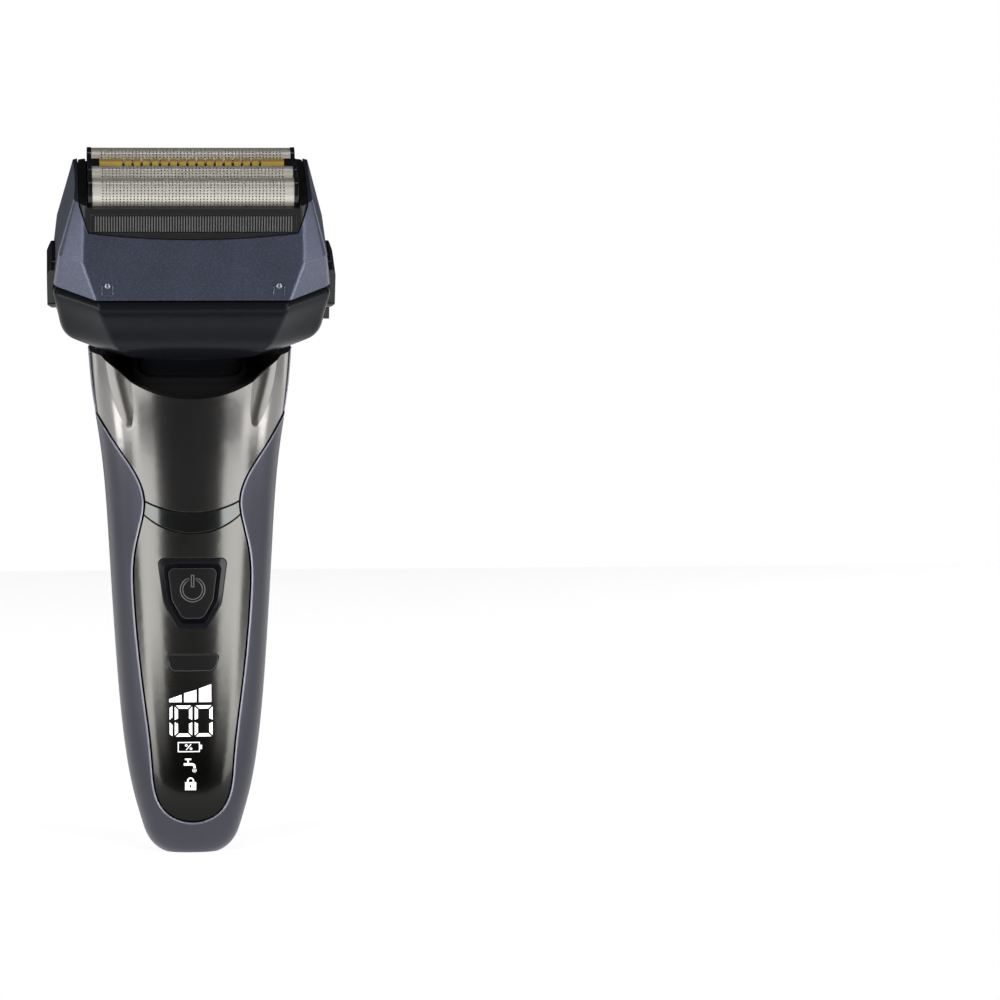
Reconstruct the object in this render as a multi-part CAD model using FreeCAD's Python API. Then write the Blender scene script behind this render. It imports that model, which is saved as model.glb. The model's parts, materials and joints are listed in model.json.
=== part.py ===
"""Cordless foil shaver: curved handle, floating and tilting head, lift-off foil block, pop-up trimmer.

Frame: millimetres, +Z up the handle, front (display side) facing -Y, origin at the middle of the base.
Head pieces are drawn upright around the head pivot, "h" the height above it, and then leant forward.
"""
import FreeCAD, Part
import math
import os
from FreeCAD import Vector

os.makedirs("parts", exist_ok=True)

# ---------------------------------------------------------------- driving dimensions
# handle
handle_length = 119.0
handle_half_width = 19.4          # at the grip, halfway up
shoulder_rise = 0.6               # rim above the handle length, over the axis
shoulder_tilt = 9.0               # degrees, the top rim rises to the back
skin = 1.8                        # outer shells
panel_drop = 0.3                  # front panels lie this much below the grips
seam = 0.45                       # visible groove between outer shells
liner_gap = 0.15
liner = 1.0                       # black inner frame behind the grooves
fit = 0.15                        # clearance between pieces that only meet
# head
head_lean = 24.0                  # degrees forward
pivot_y = -3.0
pivot_above_shoulder = 8.5
head_half_width = 32.4
head_half_depth = 18.4
front_half_flat = 22.3            # half width of the flat front face at the seam
deck_h = 12.0                     # seam between the head's base and its foil block, above the pivot
cover_height = 24.0
front_draft = 0.2                 # the front face leans back this much per millimetre
base_height = 18.0
keel_radius = 85.0
head_wall = 1.5
# foil block
foil_half_length = 23.3
foil_radius = 3.1
inner_foil_radius = 2.2
foil_wall = 0.2
foil_pitch = 8.7                  # outer foils, from the middle
inner_foil_pitch = -3.1
slit_comb_pitch = 2.2
foil_crest = 26.9                 # outer foil tops above the seam
inner_foil_crest = 27.5
slit_comb_crest = 26.9
foil_cap = 1.0
foil_travel = 1.2
cutter_gap = 0.12
cutter_stroke = 1.0
# neck and gimbal
neck_half_width = 14.4
neck_half_depth = 9.0
cross_pin_radius = 1.5
pin_clearance = 0.05
# release buttons
release_half_width = 7.0
release_height = 12.5
release_travel = 1.0
# handle fittings
battery_radius = 7.0
battery_length = 49.0
board_thickness = 1.2
screw_radius = 1.1
trimmer_half_width = 12.4
trimmer_height = 23.0
trimmer_pin_radius = 0.8

deck_wall = 1.5
FAR = 80.0

# ---------------------------------------------------------------- helpers


def save(name, shape):
    """Writes one node."""
    shape.exportStep("parts/" + name + ".step")
    solids = len(shape.Solids)
    print("%-26s solids %2d volume %9.1f valid %s" % (name, solids, shape.Volume, shape.isValid()))


def box(x0, x1, y0, y1, z0, z1):
    return Part.makeBox(x1 - x0, y1 - y0, z1 - z0, Vector(x0, y0, z0))


def wide_box(half_width, y0, y1, z0, z1):
    return box(-half_width, half_width, y0, y1, z0, z1)


def mirrored(shape):
    return shape.mirror(Vector(0, 0, 0), Vector(1, 0, 0))


def flipped(shape):
    """The same shape, front to back."""
    return shape.mirror(Vector(0, 0, 0), Vector(0, 1, 0))


def rounded_outline(corners, radii, lift):
    """Closed wire through flat corners with tangent arcs; lift turns (u, v) into a point in space."""
    turns = []
    for i, (u, v) in enumerate(corners):
        back = corners[i - 1]
        ahead = corners[(i + 1) % len(corners)]
        to_back = math.atan2(back[1] - v, back[0] - u)
        to_ahead = math.atan2(ahead[1] - v, ahead[0] - u)
        half = ((to_ahead - to_back + math.pi) % (2 * math.pi) - math.pi) / 2
        middle = to_back + half
        reach = radii[i] / abs(math.tan(half))
        away = radii[i] / abs(math.sin(half))
        start = (u + reach * math.cos(to_back), v + reach * math.sin(to_back))
        end = (u + reach * math.cos(to_ahead), v + reach * math.sin(to_ahead))
        crown = (u + (away - radii[i]) * math.cos(middle), v + (away - radii[i]) * math.sin(middle))
        turns.append((start, crown, end))
    edges = []
    for i, (start, crown, end) in enumerate(turns):
        edges.append(Part.LineSegment(lift(*turns[i - 1][2]), lift(*start)).toShape())
        edges.append(Part.Arc(lift(*start), lift(*crown), lift(*end)).toShape())
    return Part.Wire(edges)


def front_prism(wire, depth=FAR):
    """Solid from a wire drawn in the XZ plane at y = -depth, run back to y = 0."""
    return Part.Face(wire).extrude(Vector(0, depth, 0))


def at_front(u, v):
    return Vector(u, -FAR, v)


def level(height):
    return lambda u, v: Vector(u, v, height)


def tube(outer, inner, bottom, top, x=0.0, y=0.0):
    ring = Part.makeCylinder(outer, top - bottom, Vector(x, y, bottom))
    return ring.cut(Part.makeCylinder(inner, top - bottom, Vector(x, y, bottom)))


def cross_cylinder(radius, x0, x1, y, z):
    """Cylinder along X."""
    return Part.makeCylinder(radius, x1 - x0, Vector(x0, y, z), Vector(1, 0, 0))


def deep_cylinder(radius, y0, y1, x, z):
    """Cylinder along Y."""
    return Part.makeCylinder(radius, y1 - y0, Vector(x, y0, z), Vector(0, 1, 0))


def spring(radius, wire, turns, bottom, top, centre=(0.0, 0.0)):
    """Coil spring along Z as one solid."""
    helix = Part.makeHelix((top - bottom - 2 * wire) / turns, top - bottom - 2 * wire, radius)
    ring = Part.Wire(Part.makeCircle(wire, Vector(radius, 0, 0), Vector(0, 1, 0)))
    coil = Part.Wire(helix.Edges).makePipeShell([ring], True, True)
    return coil.translate(Vector(centre[0], centre[1], bottom + wire))


# ---------------------------------------------------------------- the handle's outer form
# share of the length, share of the grip's half width, depth in front of and behind the axis
HANDLE_FORM = (
    (0.000, 0.34, 6.0, 6.8),
    (0.010, 0.44, 7.6, 8.6),
    (0.030, 0.54, 9.0, 10.3),
    (0.060, 0.61, 9.9, 11.4),
    (0.105, 0.69, 10.8, 12.3),
    (0.227, 0.825, 12.0, 13.8),
    (0.395, 0.917, 12.9, 15.2),
    (0.620, 1.000, 13.2, 16.6),
    (0.820, 1.103, 14.0, 16.8),
    (0.925, 1.200, 15.4, 16.0),
    (1.060, 1.275, 17.0, 15.4),
)
FORM_POWER = 2.5
FORM_POINTS = 32


def form_section(height, half_width, front, back):
    """Rounded section of the handle as one closed spline, its seam to one side of the back."""
    points = []
    for i in range(FORM_POINTS):
        turn = math.radians(135 + 360.0 * i / FORM_POINTS)
        c, s = math.cos(turn), math.sin(turn)
        x = math.copysign(abs(c) ** (2 / FORM_POWER), c) * half_width
        y = math.copysign(abs(s) ** (2 / FORM_POWER), s) * (back if s > 0 else front)
        points.append(Vector(x, y, height))
    curve = Part.BSplineCurve()
    curve.interpolate(Points=points, PeriodicFlag=True)
    return Part.Wire(curve.toShape())


def handle_form(inset=0.0):
    """The handle's outside as a solid, or the same form drawn in by a distance."""
    sections = []
    for share, width, front, back in HANDLE_FORM:
        height = inset + share * (handle_length - inset)
        sections.append(
            form_section(height, width * handle_half_width - inset, front - inset, back - inset)
        )
    return Part.makeLoft(sections, True, False)


def front_depth(height):
    """How far the handle's front lies before the axis at a height, between the form's sections."""
    share = height / handle_length
    for low, high in zip(HANDLE_FORM, HANDLE_FORM[1:]):
        if share <= high[0]:
            break
    part = (share - low[0]) / (high[0] - low[0])
    return low[2] + part * (high[2] - low[2])


def back_depth(height):
    share = height / handle_length
    for low, high in zip(HANDLE_FORM, HANDLE_FORM[1:]):
        if share <= high[0]:
            break
    part = (share - low[0]) / (high[0] - low[0])
    return low[3] + part * (high[3] - low[3])


def up(share):
    return share * handle_length


# ---------------------------------------------------------------- the head's frame
pivot = Vector(0, pivot_y, handle_length + pivot_above_shoulder)


def lean(shape):
    """Moves a piece drawn upright around the pivot into its leaning place."""
    turned = shape.copy()
    turned.rotate(Vector(0, 0, 0), Vector(1, 0, 0), head_lean)
    turned.translate(pivot)
    return turned


# ---------------------------------------------------------------- handle shells
# half width of the front panels: height share, half width
PANEL_EDGE = (
    (0.086, 6.2),
    (0.186, 9.4),
    (0.312, 11.1),
    (0.406, 12.4),
    (0.510, 13.4),
    (0.604, 13.2),
    (0.665, 11.6),
    (0.707, 11.0),
    (0.747, 12.3),
    (0.814, 17.3),
    (0.886, 22.6),
    (1.000, 32.0),
)
panel_foot = 0.067                # share of the length where the front panel ends below


def panel_outline(grow):
    """Outline of all the front panels together, widened by a distance."""
    right = [Vector(x + grow, -FAR, up(share)) for share, x in PANEL_EDGE]
    left = [Vector(-point.x, point.y, point.z) for point in reversed(right)]
    foot = [Vector(0, -FAR, up(panel_foot) - grow)]
    sides = Part.BSplineCurve()
    sides.interpolate(Points=left + foot + right)
    top_right = Vector(right[-1].x, -FAR, handle_length + FAR)
    top_left = Vector(-right[-1].x, -FAR, handle_length + FAR)
    return Part.Wire([
        sides.toShape(),
        Part.LineSegment(right[-1], top_right).toShape(),
        Part.LineSegment(top_right, top_left).toShape(),
        Part.LineSegment(top_left, left[0]).toShape(),
    ])


def arc_region(low_z, rise, above):
    """Everything above, or below, a shallow smile-shaped arc across the panels."""
    reach = 11.6
    far_z = handle_length + FAR if above else -FAR
    left = Vector(-reach, -FAR, low_z + rise)
    right = Vector(reach, -FAR, low_z + rise)
    outline = [
        Part.Arc(left, Vector(0, -FAR, low_z), right).toShape(),
        Part.LineSegment(right, Vector(FAR, -FAR, low_z + rise)).toShape(),
        Part.LineSegment(Vector(FAR, -FAR, low_z + rise), Vector(FAR, -FAR, far_z)).toShape(),
        Part.LineSegment(Vector(FAR, -FAR, far_z), Vector(-FAR, -FAR, far_z)).toShape(),
        Part.LineSegment(Vector(-FAR, -FAR, far_z), Vector(-FAR, -FAR, low_z + rise)).toShape(),
        Part.LineSegment(Vector(-FAR, -FAR, low_z + rise), left).toShape(),
    ]
    return Part.Face(Part.Wire(outline)).extrude(Vector(0, FAR, 0))


opening_radius = 36.0             # the rim's front notch, a big cylinder front to back along the head
opening_drop = 13.0               # lowest part of the notch below the pivot


def rim_trim(spare):
    """What is cut off the top of the handle: above the tilted rim, and the front notch; spare lowers it."""
    above = Part.makeBox(4 * FAR, 4 * FAR, FAR, Vector(-2 * FAR, -2 * FAR, 0))
    above.rotate(Vector(0, 0, 0), Vector(1, 0, 0), shoulder_tilt)
    above.translate(Vector(0, 0, handle_length + shoulder_rise - spare))
    notch_h = opening_radius - opening_drop
    notch = Part.makeCylinder(
        opening_radius + spare, 2 * FAR, Vector(0, -FAR, notch_h), Vector(0, 1, 0)
    )
    return above.fuse(lean(notch))


side_seam_y = 3.0
rear_foot = up(0.10)

outside = handle_form()
panel_face = handle_form(panel_drop)
skin_inside = handle_form(skin)
liner_outside = handle_form(skin + liner_gap)
liner_inside = handle_form(skin + liner_gap + liner)

rim = rim_trim(0.0)
panel_zone = front_prism(panel_outline(0.0))
panel_hole = front_prism(panel_outline(seam))

arc_upper = (up(0.682), 3.0)
arc_lower = (up(0.641), 4.7)

front_shell = panel_face.cut(skin_inside).common(panel_zone).cut(rim)
above_upper = arc_region(arc_upper[0] + seam / 2, arc_upper[1], True)
below_upper = arc_region(arc_upper[0] - seam / 2, arc_upper[1], False)
above_lower = arc_region(arc_lower[0] + seam / 2, arc_lower[1], True)
below_lower = arc_region(arc_lower[0] - seam / 2, arc_lower[1], False)

# a flute on each side of the collar, deepest at the shoulder and running out towards the waist
flute_radius = 9.0
flute_top = Vector(23.7, -18.2, up(1.02))
flute_end = Vector(14.2, -20.0, up(0.71))
flute_line = flute_end - flute_top
flute = Part.makeCone(flute_radius, flute_radius - 1.0, flute_line.Length, flute_top, flute_line)
upper_panel = front_shell.common(above_upper).cut(flute).cut(mirrored(flute))
accent_band = front_shell.common(below_upper).common(above_lower)

# power button recess: a shield, wide above and round below
power_top = up(0.593)
power_foot = up(0.452)
power_half = 8.3
POWER_SIDE = 0.83                 # the shield's sides come in to this share of its half width
POWER_BASE = 0.42


def shield(shrink, lift):
    """Shield outline round the power button, drawn in by a distance."""
    top = power_top - shrink
    foot = power_foot + shrink
    knee = foot + 0.36 * (top - foot)
    half = power_half - shrink
    corners = [
        (-half, top), (half, top), (half * POWER_SIDE, knee), (half * POWER_BASE, foot),
        (-half * POWER_BASE, foot), (-half * POWER_SIDE, knee),
    ]
    return rounded_outline(corners, [1.4, 1.4, 5.0, 2.0, 2.0, 5.0], lift)


lock_top = up(0.402)
lock_foot = up(0.367)
lock_half = 6.4


def lock_outline(shrink, lift):
    """Lower button: a shallow trapezium with round lower corners."""
    top = lock_top - shrink
    foot = lock_foot + shrink
    half = lock_half - shrink
    corners = [(-half, top), (half, top), (half - 1.2, foot), (-half + 1.2, foot)]
    return rounded_outline(corners, [0.7, 0.7, 1.6, 1.6], lift)


power_hole = front_prism(shield(0.0, at_front))
lock_hole = front_prism(lock_outline(0.0, at_front))
display_panel = front_shell.common(below_lower).cut(power_hole).cut(lock_hole)

# the moat round the power button slopes in from the panel to the button
button_inset = 2.3
moat_depth = 1.6
power_plane = front_depth((power_top + power_foot) / 2)
moat_mouth = shield(0.35, lambda u, v: Vector(u, -power_plane - 1.6, v))
moat_floor = shield(button_inset - 0.5, lambda u, v: Vector(u, -power_plane + moat_depth, v))
moat = Part.makeLoft([moat_mouth, moat_floor], True, True)
bezel_body = panel_face.cut(handle_form(3.4)).common(front_prism(shield(fit, at_front)))
button_bezel = bezel_body.cut(moat).cut(front_prism(shield(button_inset, at_front)))
button_skin = handle_form(0.75).cut(handle_form(2.9))
power_button = button_skin.common(front_prism(shield(button_inset + fit, at_front)))
power_axis_z = (power_top + power_foot) / 2 + 0.9
icon_radius = 2.6
icon_line = 0.45
icon_cut_y = -power_plane + 0.75 + 0.25
icon_ring = deep_cylinder(icon_radius + icon_line / 2, -FAR, icon_cut_y, 0, power_axis_z)
icon_ring = icon_ring.cut(deep_cylinder(icon_radius - icon_line / 2, -FAR, icon_cut_y, 0, power_axis_z))
icon_gap = box(-0.9, 0.9, -FAR, 0, power_axis_z + 1.0, power_axis_z + 4.0)
icon_bar = box(-icon_line / 2, icon_line / 2, -FAR, icon_cut_y, power_axis_z + 0.6, power_axis_z + 3.4)
power_button = power_button.cut(icon_ring.cut(icon_gap)).cut(icon_bar)

lock_button = panel_face.cut(handle_form(2.6)).common(front_prism(lock_outline(fit, at_front)))

# front halves of the grip, joined under the panels at the foot, and the rear cover
grip_zone = box(-FAR, FAR, -FAR, side_seam_y - seam / 2, -1, handle_length + FAR)
grip_foot_zone = box(-FAR, FAR, -FAR, FAR, -1, rear_foot - seam / 2)
shell = outside.cut(skin_inside)
grip_shell = shell.common(grip_zone.fuse(grip_foot_zone)).cut(panel_hole).cut(rim)

rear_zone = box(-FAR, FAR, side_seam_y + seam / 2, FAR, rear_foot + seam / 2, handle_length + FAR)
rear_cover = shell.common(rear_zone).cut(rim)

# pop-up trimmer: a thick patch of the back that swings out on a pin at its lower end
trimmer_foot = up(0.64)
trimmer_top = trimmer_foot + trimmer_height
trimmer_pin_y = back_depth(trimmer_foot) - 3.4
trimmer_pin_z = trimmer_foot + 2.6
trimmer_knuckle = 2.4
trimmer_gap = 0.4
knuckle_half = 7.0
trimmer_shoulder = 3.6            # full width starts this far above the pin
pocket_wall = 1.0
pocket_front = trimmer_pin_y - trimmer_knuckle - trimmer_gap


def trimmer_bay(grow, front):
    """Room for the trimmer: full width above, only as wide as the knuckle round the pin."""
    low = trimmer_pin_z - trimmer_knuckle - trimmer_gap - grow
    wide_low = trimmer_pin_z + trimmer_shoulder - 1.4 - grow
    top = trimmer_top + trimmer_gap + grow
    bay = wide_box(trimmer_half_width + trimmer_gap + grow, front, FAR, wide_low, top)
    return bay.fuse(wide_box(knuckle_half + trimmer_gap + grow, front, FAR, low, top))


rear_cover = rear_cover.cut(trimmer_bay(0.0, 0.0))
pocket_out = trimmer_bay(pocket_wall, pocket_front - pocket_wall)
trimmer_pocket = pocket_out.cut(trimmer_bay(0.0, pocket_front)).common(handle_form(skin + fit))
trimmer_pocket = trimmer_pocket.cut(
    cross_cylinder(trimmer_pin_radius, -FAR, FAR, trimmer_pin_y, trimmer_pin_z)
)
pin_half = knuckle_half + trimmer_gap + pocket_wall
trimmer_pin = cross_cylinder(trimmer_pin_radius, -pin_half, pin_half, trimmer_pin_y, trimmer_pin_z)

blade_zone = 3.0                  # height at the top given to the trimmer's blades
patch = outside.common(
    wide_box(trimmer_half_width, pocket_front + trimmer_gap, FAR, trimmer_pin_z + trimmer_shoulder,
             trimmer_top - blade_zone)
)
knuckle = cross_cylinder(trimmer_knuckle, -knuckle_half, knuckle_half, trimmer_pin_y, trimmer_pin_z)
knuckle_neck = wide_box(knuckle_half, trimmer_pin_y - trimmer_knuckle, trimmer_pin_y + trimmer_knuckle,
                        trimmer_pin_z, trimmer_pin_z + trimmer_shoulder + 0.5)
trimmer_bore = cross_cylinder(trimmer_pin_radius + pin_clearance, -FAR, FAR, trimmer_pin_y, trimmer_pin_z)
trimmer_housing = patch.multiFuse([knuckle, knuckle_neck]).cut(trimmer_bore)
for rib in range(3):
    rib_z = trimmer_pin_z + 6.5 + 2.2 * rib
    groove = wide_box(7.0, back_depth(rib_z) - 0.5, FAR, rib_z, rib_z + 0.9)
    trimmer_housing = trimmer_housing.cut(groove)

tooth_pitch = 1.1
teeth = int((2 * trimmer_half_width - 3.0) / tooth_pitch)
blade_foot = trimmer_top - blade_zone


def toothed_blade(half_width, y0, y1, root, tip, count, thickness_share):
    """Flat blade with a row of teeth along its top."""
    blade = wide_box(half_width, y0, y1, blade_foot, root)
    first = -(count - 1) * tooth_pitch / 2
    cogs = []
    for i in range(count):
        x = first + i * tooth_pitch
        half = tooth_pitch * thickness_share / 2
        cogs.append(box(x - half, x + half, y0, y1, root - 0.2, tip))
    return blade.multiFuse(cogs)


comb_back = back_depth(trimmer_top) - 1.0
trimmer_comb = toothed_blade(
    trimmer_half_width - 0.6, comb_back - 0.9, comb_back, blade_foot + 1.0, trimmer_top, teeth, 0.5
)
trimmer_blade = toothed_blade(
    trimmer_half_width - 1.9, comb_back - 1.9, comb_back - 1.0, blade_foot + 1.0, trimmer_top - 0.4,
    teeth - 2, 0.5
)

# trimmer slide on the rear cover, under the trimmer
slide_z = trimmer_pin_z - 11.0
slide_half = 4.2
slide_travel = 3.0
slide_y = back_depth(slide_z + 3.2 + slide_travel) + 0.15
slot = box(-1.6, 1.6, 0, FAR, slide_z - 2.2, slide_z + 2.2 + slide_travel)
rear_cover = rear_cover.cut(slot)
slide_plan = rounded_outline(
    [(-slide_half, slide_z - 3.2), (slide_half, slide_z - 3.2), (slide_half, slide_z + 3.2),
     (-slide_half, slide_z + 3.2)],
    [2.4] * 4, lambda u, v: Vector(u, slide_y, v)
)
trimmer_slide = Part.Face(slide_plan).extrude(Vector(0, 1.5, 0))
for ridge in range(3):
    ridge_z = slide_z - 1.5 + 1.5 * ridge
    trimmer_slide = trimmer_slide.cut(box(-3, 3, slide_y + 1.25, FAR, ridge_z - 0.3, ridge_z + 0.3))
trimmer_slide = trimmer_slide.fuse(
    box(-1.3, 1.3, slide_y - skin - 1.4, slide_y + 0.6, slide_z - 2.0, slide_z + 2.0)
)
trimmer_slide = trimmer_slide.removeSplitter()

# ---------------------------------------------------------------- inner frame and what it carries
liner_shell = liner_outside.cut(liner_inside)
inner_frame = liner_shell.common(box(-FAR, FAR, -FAR, side_seam_y + 3.0, up(0.02), handle_length + FAR))
inner_frame = inner_frame.cut(rim_trim(0.8)).cut(front_prism(shield(-0.2, at_front)))
inner_frame = inner_frame.cut(front_prism(lock_outline(-0.2, at_front)))
display_half = 6.0
display_foot = up(0.112)
display_top = up(0.340)
display_window = box(
    -display_half - 0.4, display_half + 0.4, -FAR, 0, display_foot - 0.4, display_top + 0.4,
)
inner_frame = inner_frame.cut(display_window).cut(pocket_out)

# base: socket plate let into the foot
foot_half_width = 4.9
foot_half_depth = 4.2
socket_half = 4.17
socket_half_height = 1.28
socket_wall = 0.3
socket_length = 6.5
foot_y = 0.0


def stadium(half_length, half_height, height):
    corners = [
        (-half_length, foot_y - half_height), (half_length, foot_y - half_height),
        (half_length, foot_y + half_height), (-half_length, foot_y + half_height),
    ]
    return rounded_outline(corners, [half_height * 0.98] * 4, level(height))


def foot_plate(grow):
    """The plug in the base, or its hole."""
    corners = [
        (-foot_half_width - grow, foot_y - foot_half_depth - grow),
        (foot_half_width + grow, foot_y - foot_half_depth - grow),
        (foot_half_width + grow, foot_y + foot_half_depth + grow),
        (-foot_half_width - grow, foot_y + foot_half_depth + grow),
    ]
    return rounded_outline(corners, [2.0 + grow] * 4, level(0.0))


foot_thickness = 2.4
inner_frame = inner_frame.cut(wide_box(
    foot_half_width + 0.6, foot_y - foot_half_depth - 0.6, foot_y + foot_half_depth + 0.6,
    0, socket_length + 4,
))
grip_shell = grip_shell.cut(Part.Face(foot_plate(fit)).extrude(Vector(0, 0, foot_thickness + 2)))
socket_outer = Part.Face(stadium(socket_half + socket_wall, socket_half_height + socket_wall, 0))
socket_inner = Part.Face(stadium(socket_half, socket_half_height, 0))
base_plug = Part.Face(foot_plate(0.0)).extrude(Vector(0, 0, foot_thickness))
socket_bore = Part.Face(
    stadium(socket_half + socket_wall + 0.05, socket_half_height + socket_wall + 0.05, 0)
)
base_plug = base_plug.cut(socket_bore.extrude(Vector(0, 0, foot_thickness)))
socket_recess = 0.6
charge_socket = socket_outer.extrude(Vector(0, 0, socket_length + 0.5))
charge_socket = charge_socket.cut(socket_inner.extrude(Vector(0, 0, socket_length)))
tongue = wide_box(3.35, foot_y - 0.35, foot_y + 0.35, 1.0, socket_length)
charge_socket = charge_socket.fuse(tongue)
charge_socket.translate(Vector(0, 0, socket_recess))

# main board, display, switches
board_y = -6.3
board_half_width = 7.6
board_foot = up(0.115)
board_top = up(0.60)
main_board = wide_box(board_half_width, board_y, board_y + board_thickness, board_foot, board_top)
board_corner = box(board_half_width - 2.4, FAR, -FAR, FAR, board_foot, board_foot + 4)
main_board = main_board.cut(board_corner).cut(mirrored(board_corner))
display_front = -front_depth(display_foot) + skin + liner_gap + 0.9
led_display = wide_box(display_half, display_front, board_y - 0.05, display_foot, display_top)
chip_back = board_y + board_thickness
parts_on_board = [
    box(-7.4, -4.6, chip_back, chip_back + 0.9, board_top - 12, board_top - 8),
    box(4.6, 7.4, chip_back, chip_back + 0.9, board_top - 10, board_top - 6),
    box(-4.5, -1.5, chip_back, chip_back + 0.7, board_foot + 1, board_foot + 4.5),
    box(1.5, 4.5, chip_back, chip_back + 0.7, board_foot + 1, board_foot + 4),
]
main_board = Part.makeCompound([main_board] + parts_on_board)


def tact_switch(z, cap_y):
    """Push switch on the board with its plunger just short of the button."""
    can = box(-2.6, 2.6, board_y - 2.2, board_y - 0.05, z - 2.6, z + 2.6)
    return can.fuse(deep_cylinder(1.2, cap_y + 0.75, board_y - 2.1, 0, z)).removeSplitter()


power_back = -front_depth(power_axis_z) + 2.9
lock_axis_z = (lock_top + lock_foot) / 2
lock_back = -front_depth(lock_axis_z) + 2.6
tact_switches = Part.makeCompound(
    [tact_switch(power_axis_z, power_back), tact_switch(lock_axis_z, lock_back)]
)

battery_y = 3.1
battery_foot = up(0.2)
battery = Part.makeCylinder(battery_radius, battery_length, Vector(0, battery_y, battery_foot))
nub = Part.makeCylinder(2.6, 1.2, Vector(0, battery_y, battery_foot + battery_length))
battery_cell = battery.fuse(nub).removeSplitter()
cradle_wall = 0.9
cradle = tube(
    battery_radius + fit + cradle_wall, battery_radius + fit, battery_foot - 1.4,
    battery_foot + battery_length + 2.6, 0, battery_y
)
battery_cradle = cradle.common(box(-FAR, FAR, -FAR, battery_y - 1.0, 0, FAR * 2))
cradle_floor = Part.makeCylinder(
    battery_radius + fit + cradle_wall, 1.0, Vector(0, battery_y, battery_foot - 2.4),
)
battery_cradle = battery_cradle.fuse(cradle_floor.common(box(-FAR, FAR, -FAR, battery_y + 4, 0, FAR)))
battery_cradle = battery_cradle.common(handle_form(skin + liner_gap + liner + fit)).removeSplitter()
tab_low = box(-2.5, 2.5, battery_y - 3, battery_y + 3, battery_foot - 0.35, battery_foot - 0.05)
tab_high = box(
    -2.5, 2.5, battery_y - 3, battery_y + 3,
    battery_foot + battery_length + 1.25, battery_foot + battery_length + 1.55,
)
battery_cell = Part.makeCompound([battery_cell, tab_low, tab_high])

# ---------------------------------------------------------------- neck
bulkhead_h = -21.5
bulkhead_thickness = 2.0
stem_radius = 4.0
bush_radius = 6.0
bush_height = 3.5


def neck_outline(half_width, half_depth, corner, height):
    corners = [
        (-half_width, -half_depth), (half_width, -half_depth), (half_width, half_depth),
        (-half_width, half_depth),
    ]
    return rounded_outline(corners, [corner] * 4, level(height))


neck_inside = handle_form(skin + liner_gap + liner + fit)
bulkhead_slab = lean(wide_box(FAR, -FAR, FAR, bulkhead_h, bulkhead_h + bulkhead_thickness))
trimmer_room = box(
    -trimmer_half_width - trimmer_gap - pocket_wall - fit,
    trimmer_half_width + trimmer_gap + pocket_wall + fit,
    pocket_front - pocket_wall - fit, FAR, 0, trimmer_top + trimmer_gap + pocket_wall + fit,
)
neck_bulkhead = neck_inside.common(bulkhead_slab).cut(trimmer_room)
bush_bottom = bulkhead_h - 2.0
bush_top = bulkhead_h + bush_height
bush_boss = lean(Part.makeCylinder(bush_radius + 1.5, bulkhead_thickness + 2.5, Vector(0, 0, bulkhead_h)))
bush_hole = lean(Part.makeCylinder(bush_radius, 2 * FAR, Vector(0, 0, -FAR)))
neck_bulkhead = neck_bulkhead.fuse(bush_boss).cut(bush_hole)
neck_bush = lean(tube(bush_radius, stem_radius + pin_clearance, bush_bottom, bush_top))

neck_top_h = -4.0
neck_knee_h = -10.2
neck_foot_h = -14.8
neck_form = Part.makeLoft(
    [
        neck_outline(neck_half_width - 3.0, neck_half_depth - 2.2, 3.6, neck_foot_h),
        neck_outline(neck_half_width - 2.6, neck_half_depth - 2.0, 3.8, neck_knee_h),
        neck_outline(neck_half_width, neck_half_depth, 4.2, neck_top_h),
    ],
    True, True,
)
clip_thickness = 0.7
clip_top = bush_bottom - 0.1
stem_bottom = clip_top - clip_thickness - 1.2
stem = Part.makeCylinder(stem_radius, neck_foot_h - stem_bottom + 1, Vector(0, 0, stem_bottom))
clip_groove = tube(stem_radius + 1, stem_radius - 0.8, clip_top - clip_thickness - 0.05, clip_top + 0.05)
# fork ears that hold the gimbal cross, left and right
ear_x0 = 6.0
ear_x1 = 9.0
ear_half = 3.4


def ear(x0, x1):
    block = box(x0, x1, -ear_half, ear_half, neck_top_h - 1, 0)
    return block.fuse(cross_cylinder(ear_half, x0, x1, 0, 0))


neck_ears = ear(ear_x0, ear_x1)
neck_post_local = neck_form.fuse(stem).cut(clip_groove).multiFuse([neck_ears, mirrored(neck_ears)])
neck_post_local = neck_post_local.cut(
    cross_cylinder(cross_pin_radius + pin_clearance, -ear_x1 - 1, ear_x1 + 1, 0, 0)
)
neck_post = lean(neck_post_local.removeSplitter())
clip_ring = tube(stem_radius + 1.6, stem_radius - 0.75, clip_top - clip_thickness, clip_top)
clip_mouth = box(-1.6, 1.6, 0, FAR, stem_bottom, stem_bottom + 3)
retaining_clip = lean(clip_ring.cut(clip_mouth))
spring_foot = bush_top + 0.1
float_spring = lean(spring(stem_radius + 1.1, 0.3, 2.5, spring_foot, neck_foot_h - 0.1))

# gimbal cross
cross_half = 4.2
cross_arm = ear_x1 - 0.4
cross_block = box(-cross_half, cross_half, -cross_half, cross_half, -2.2, 2.2)
gimbal_cross_local = cross_block.multiFuse([
    cross_cylinder(cross_pin_radius, -cross_arm, cross_arm, 0, 0),
    deep_cylinder(cross_pin_radius, -cross_arm, cross_arm, 0, 0),
])
gimbal_cross = lean(gimbal_cross_local.removeSplitter())

# rubber boot: a funnel from the rim's inside to the neck
boot_top = -12.6
boot_wall = 0.8


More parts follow.
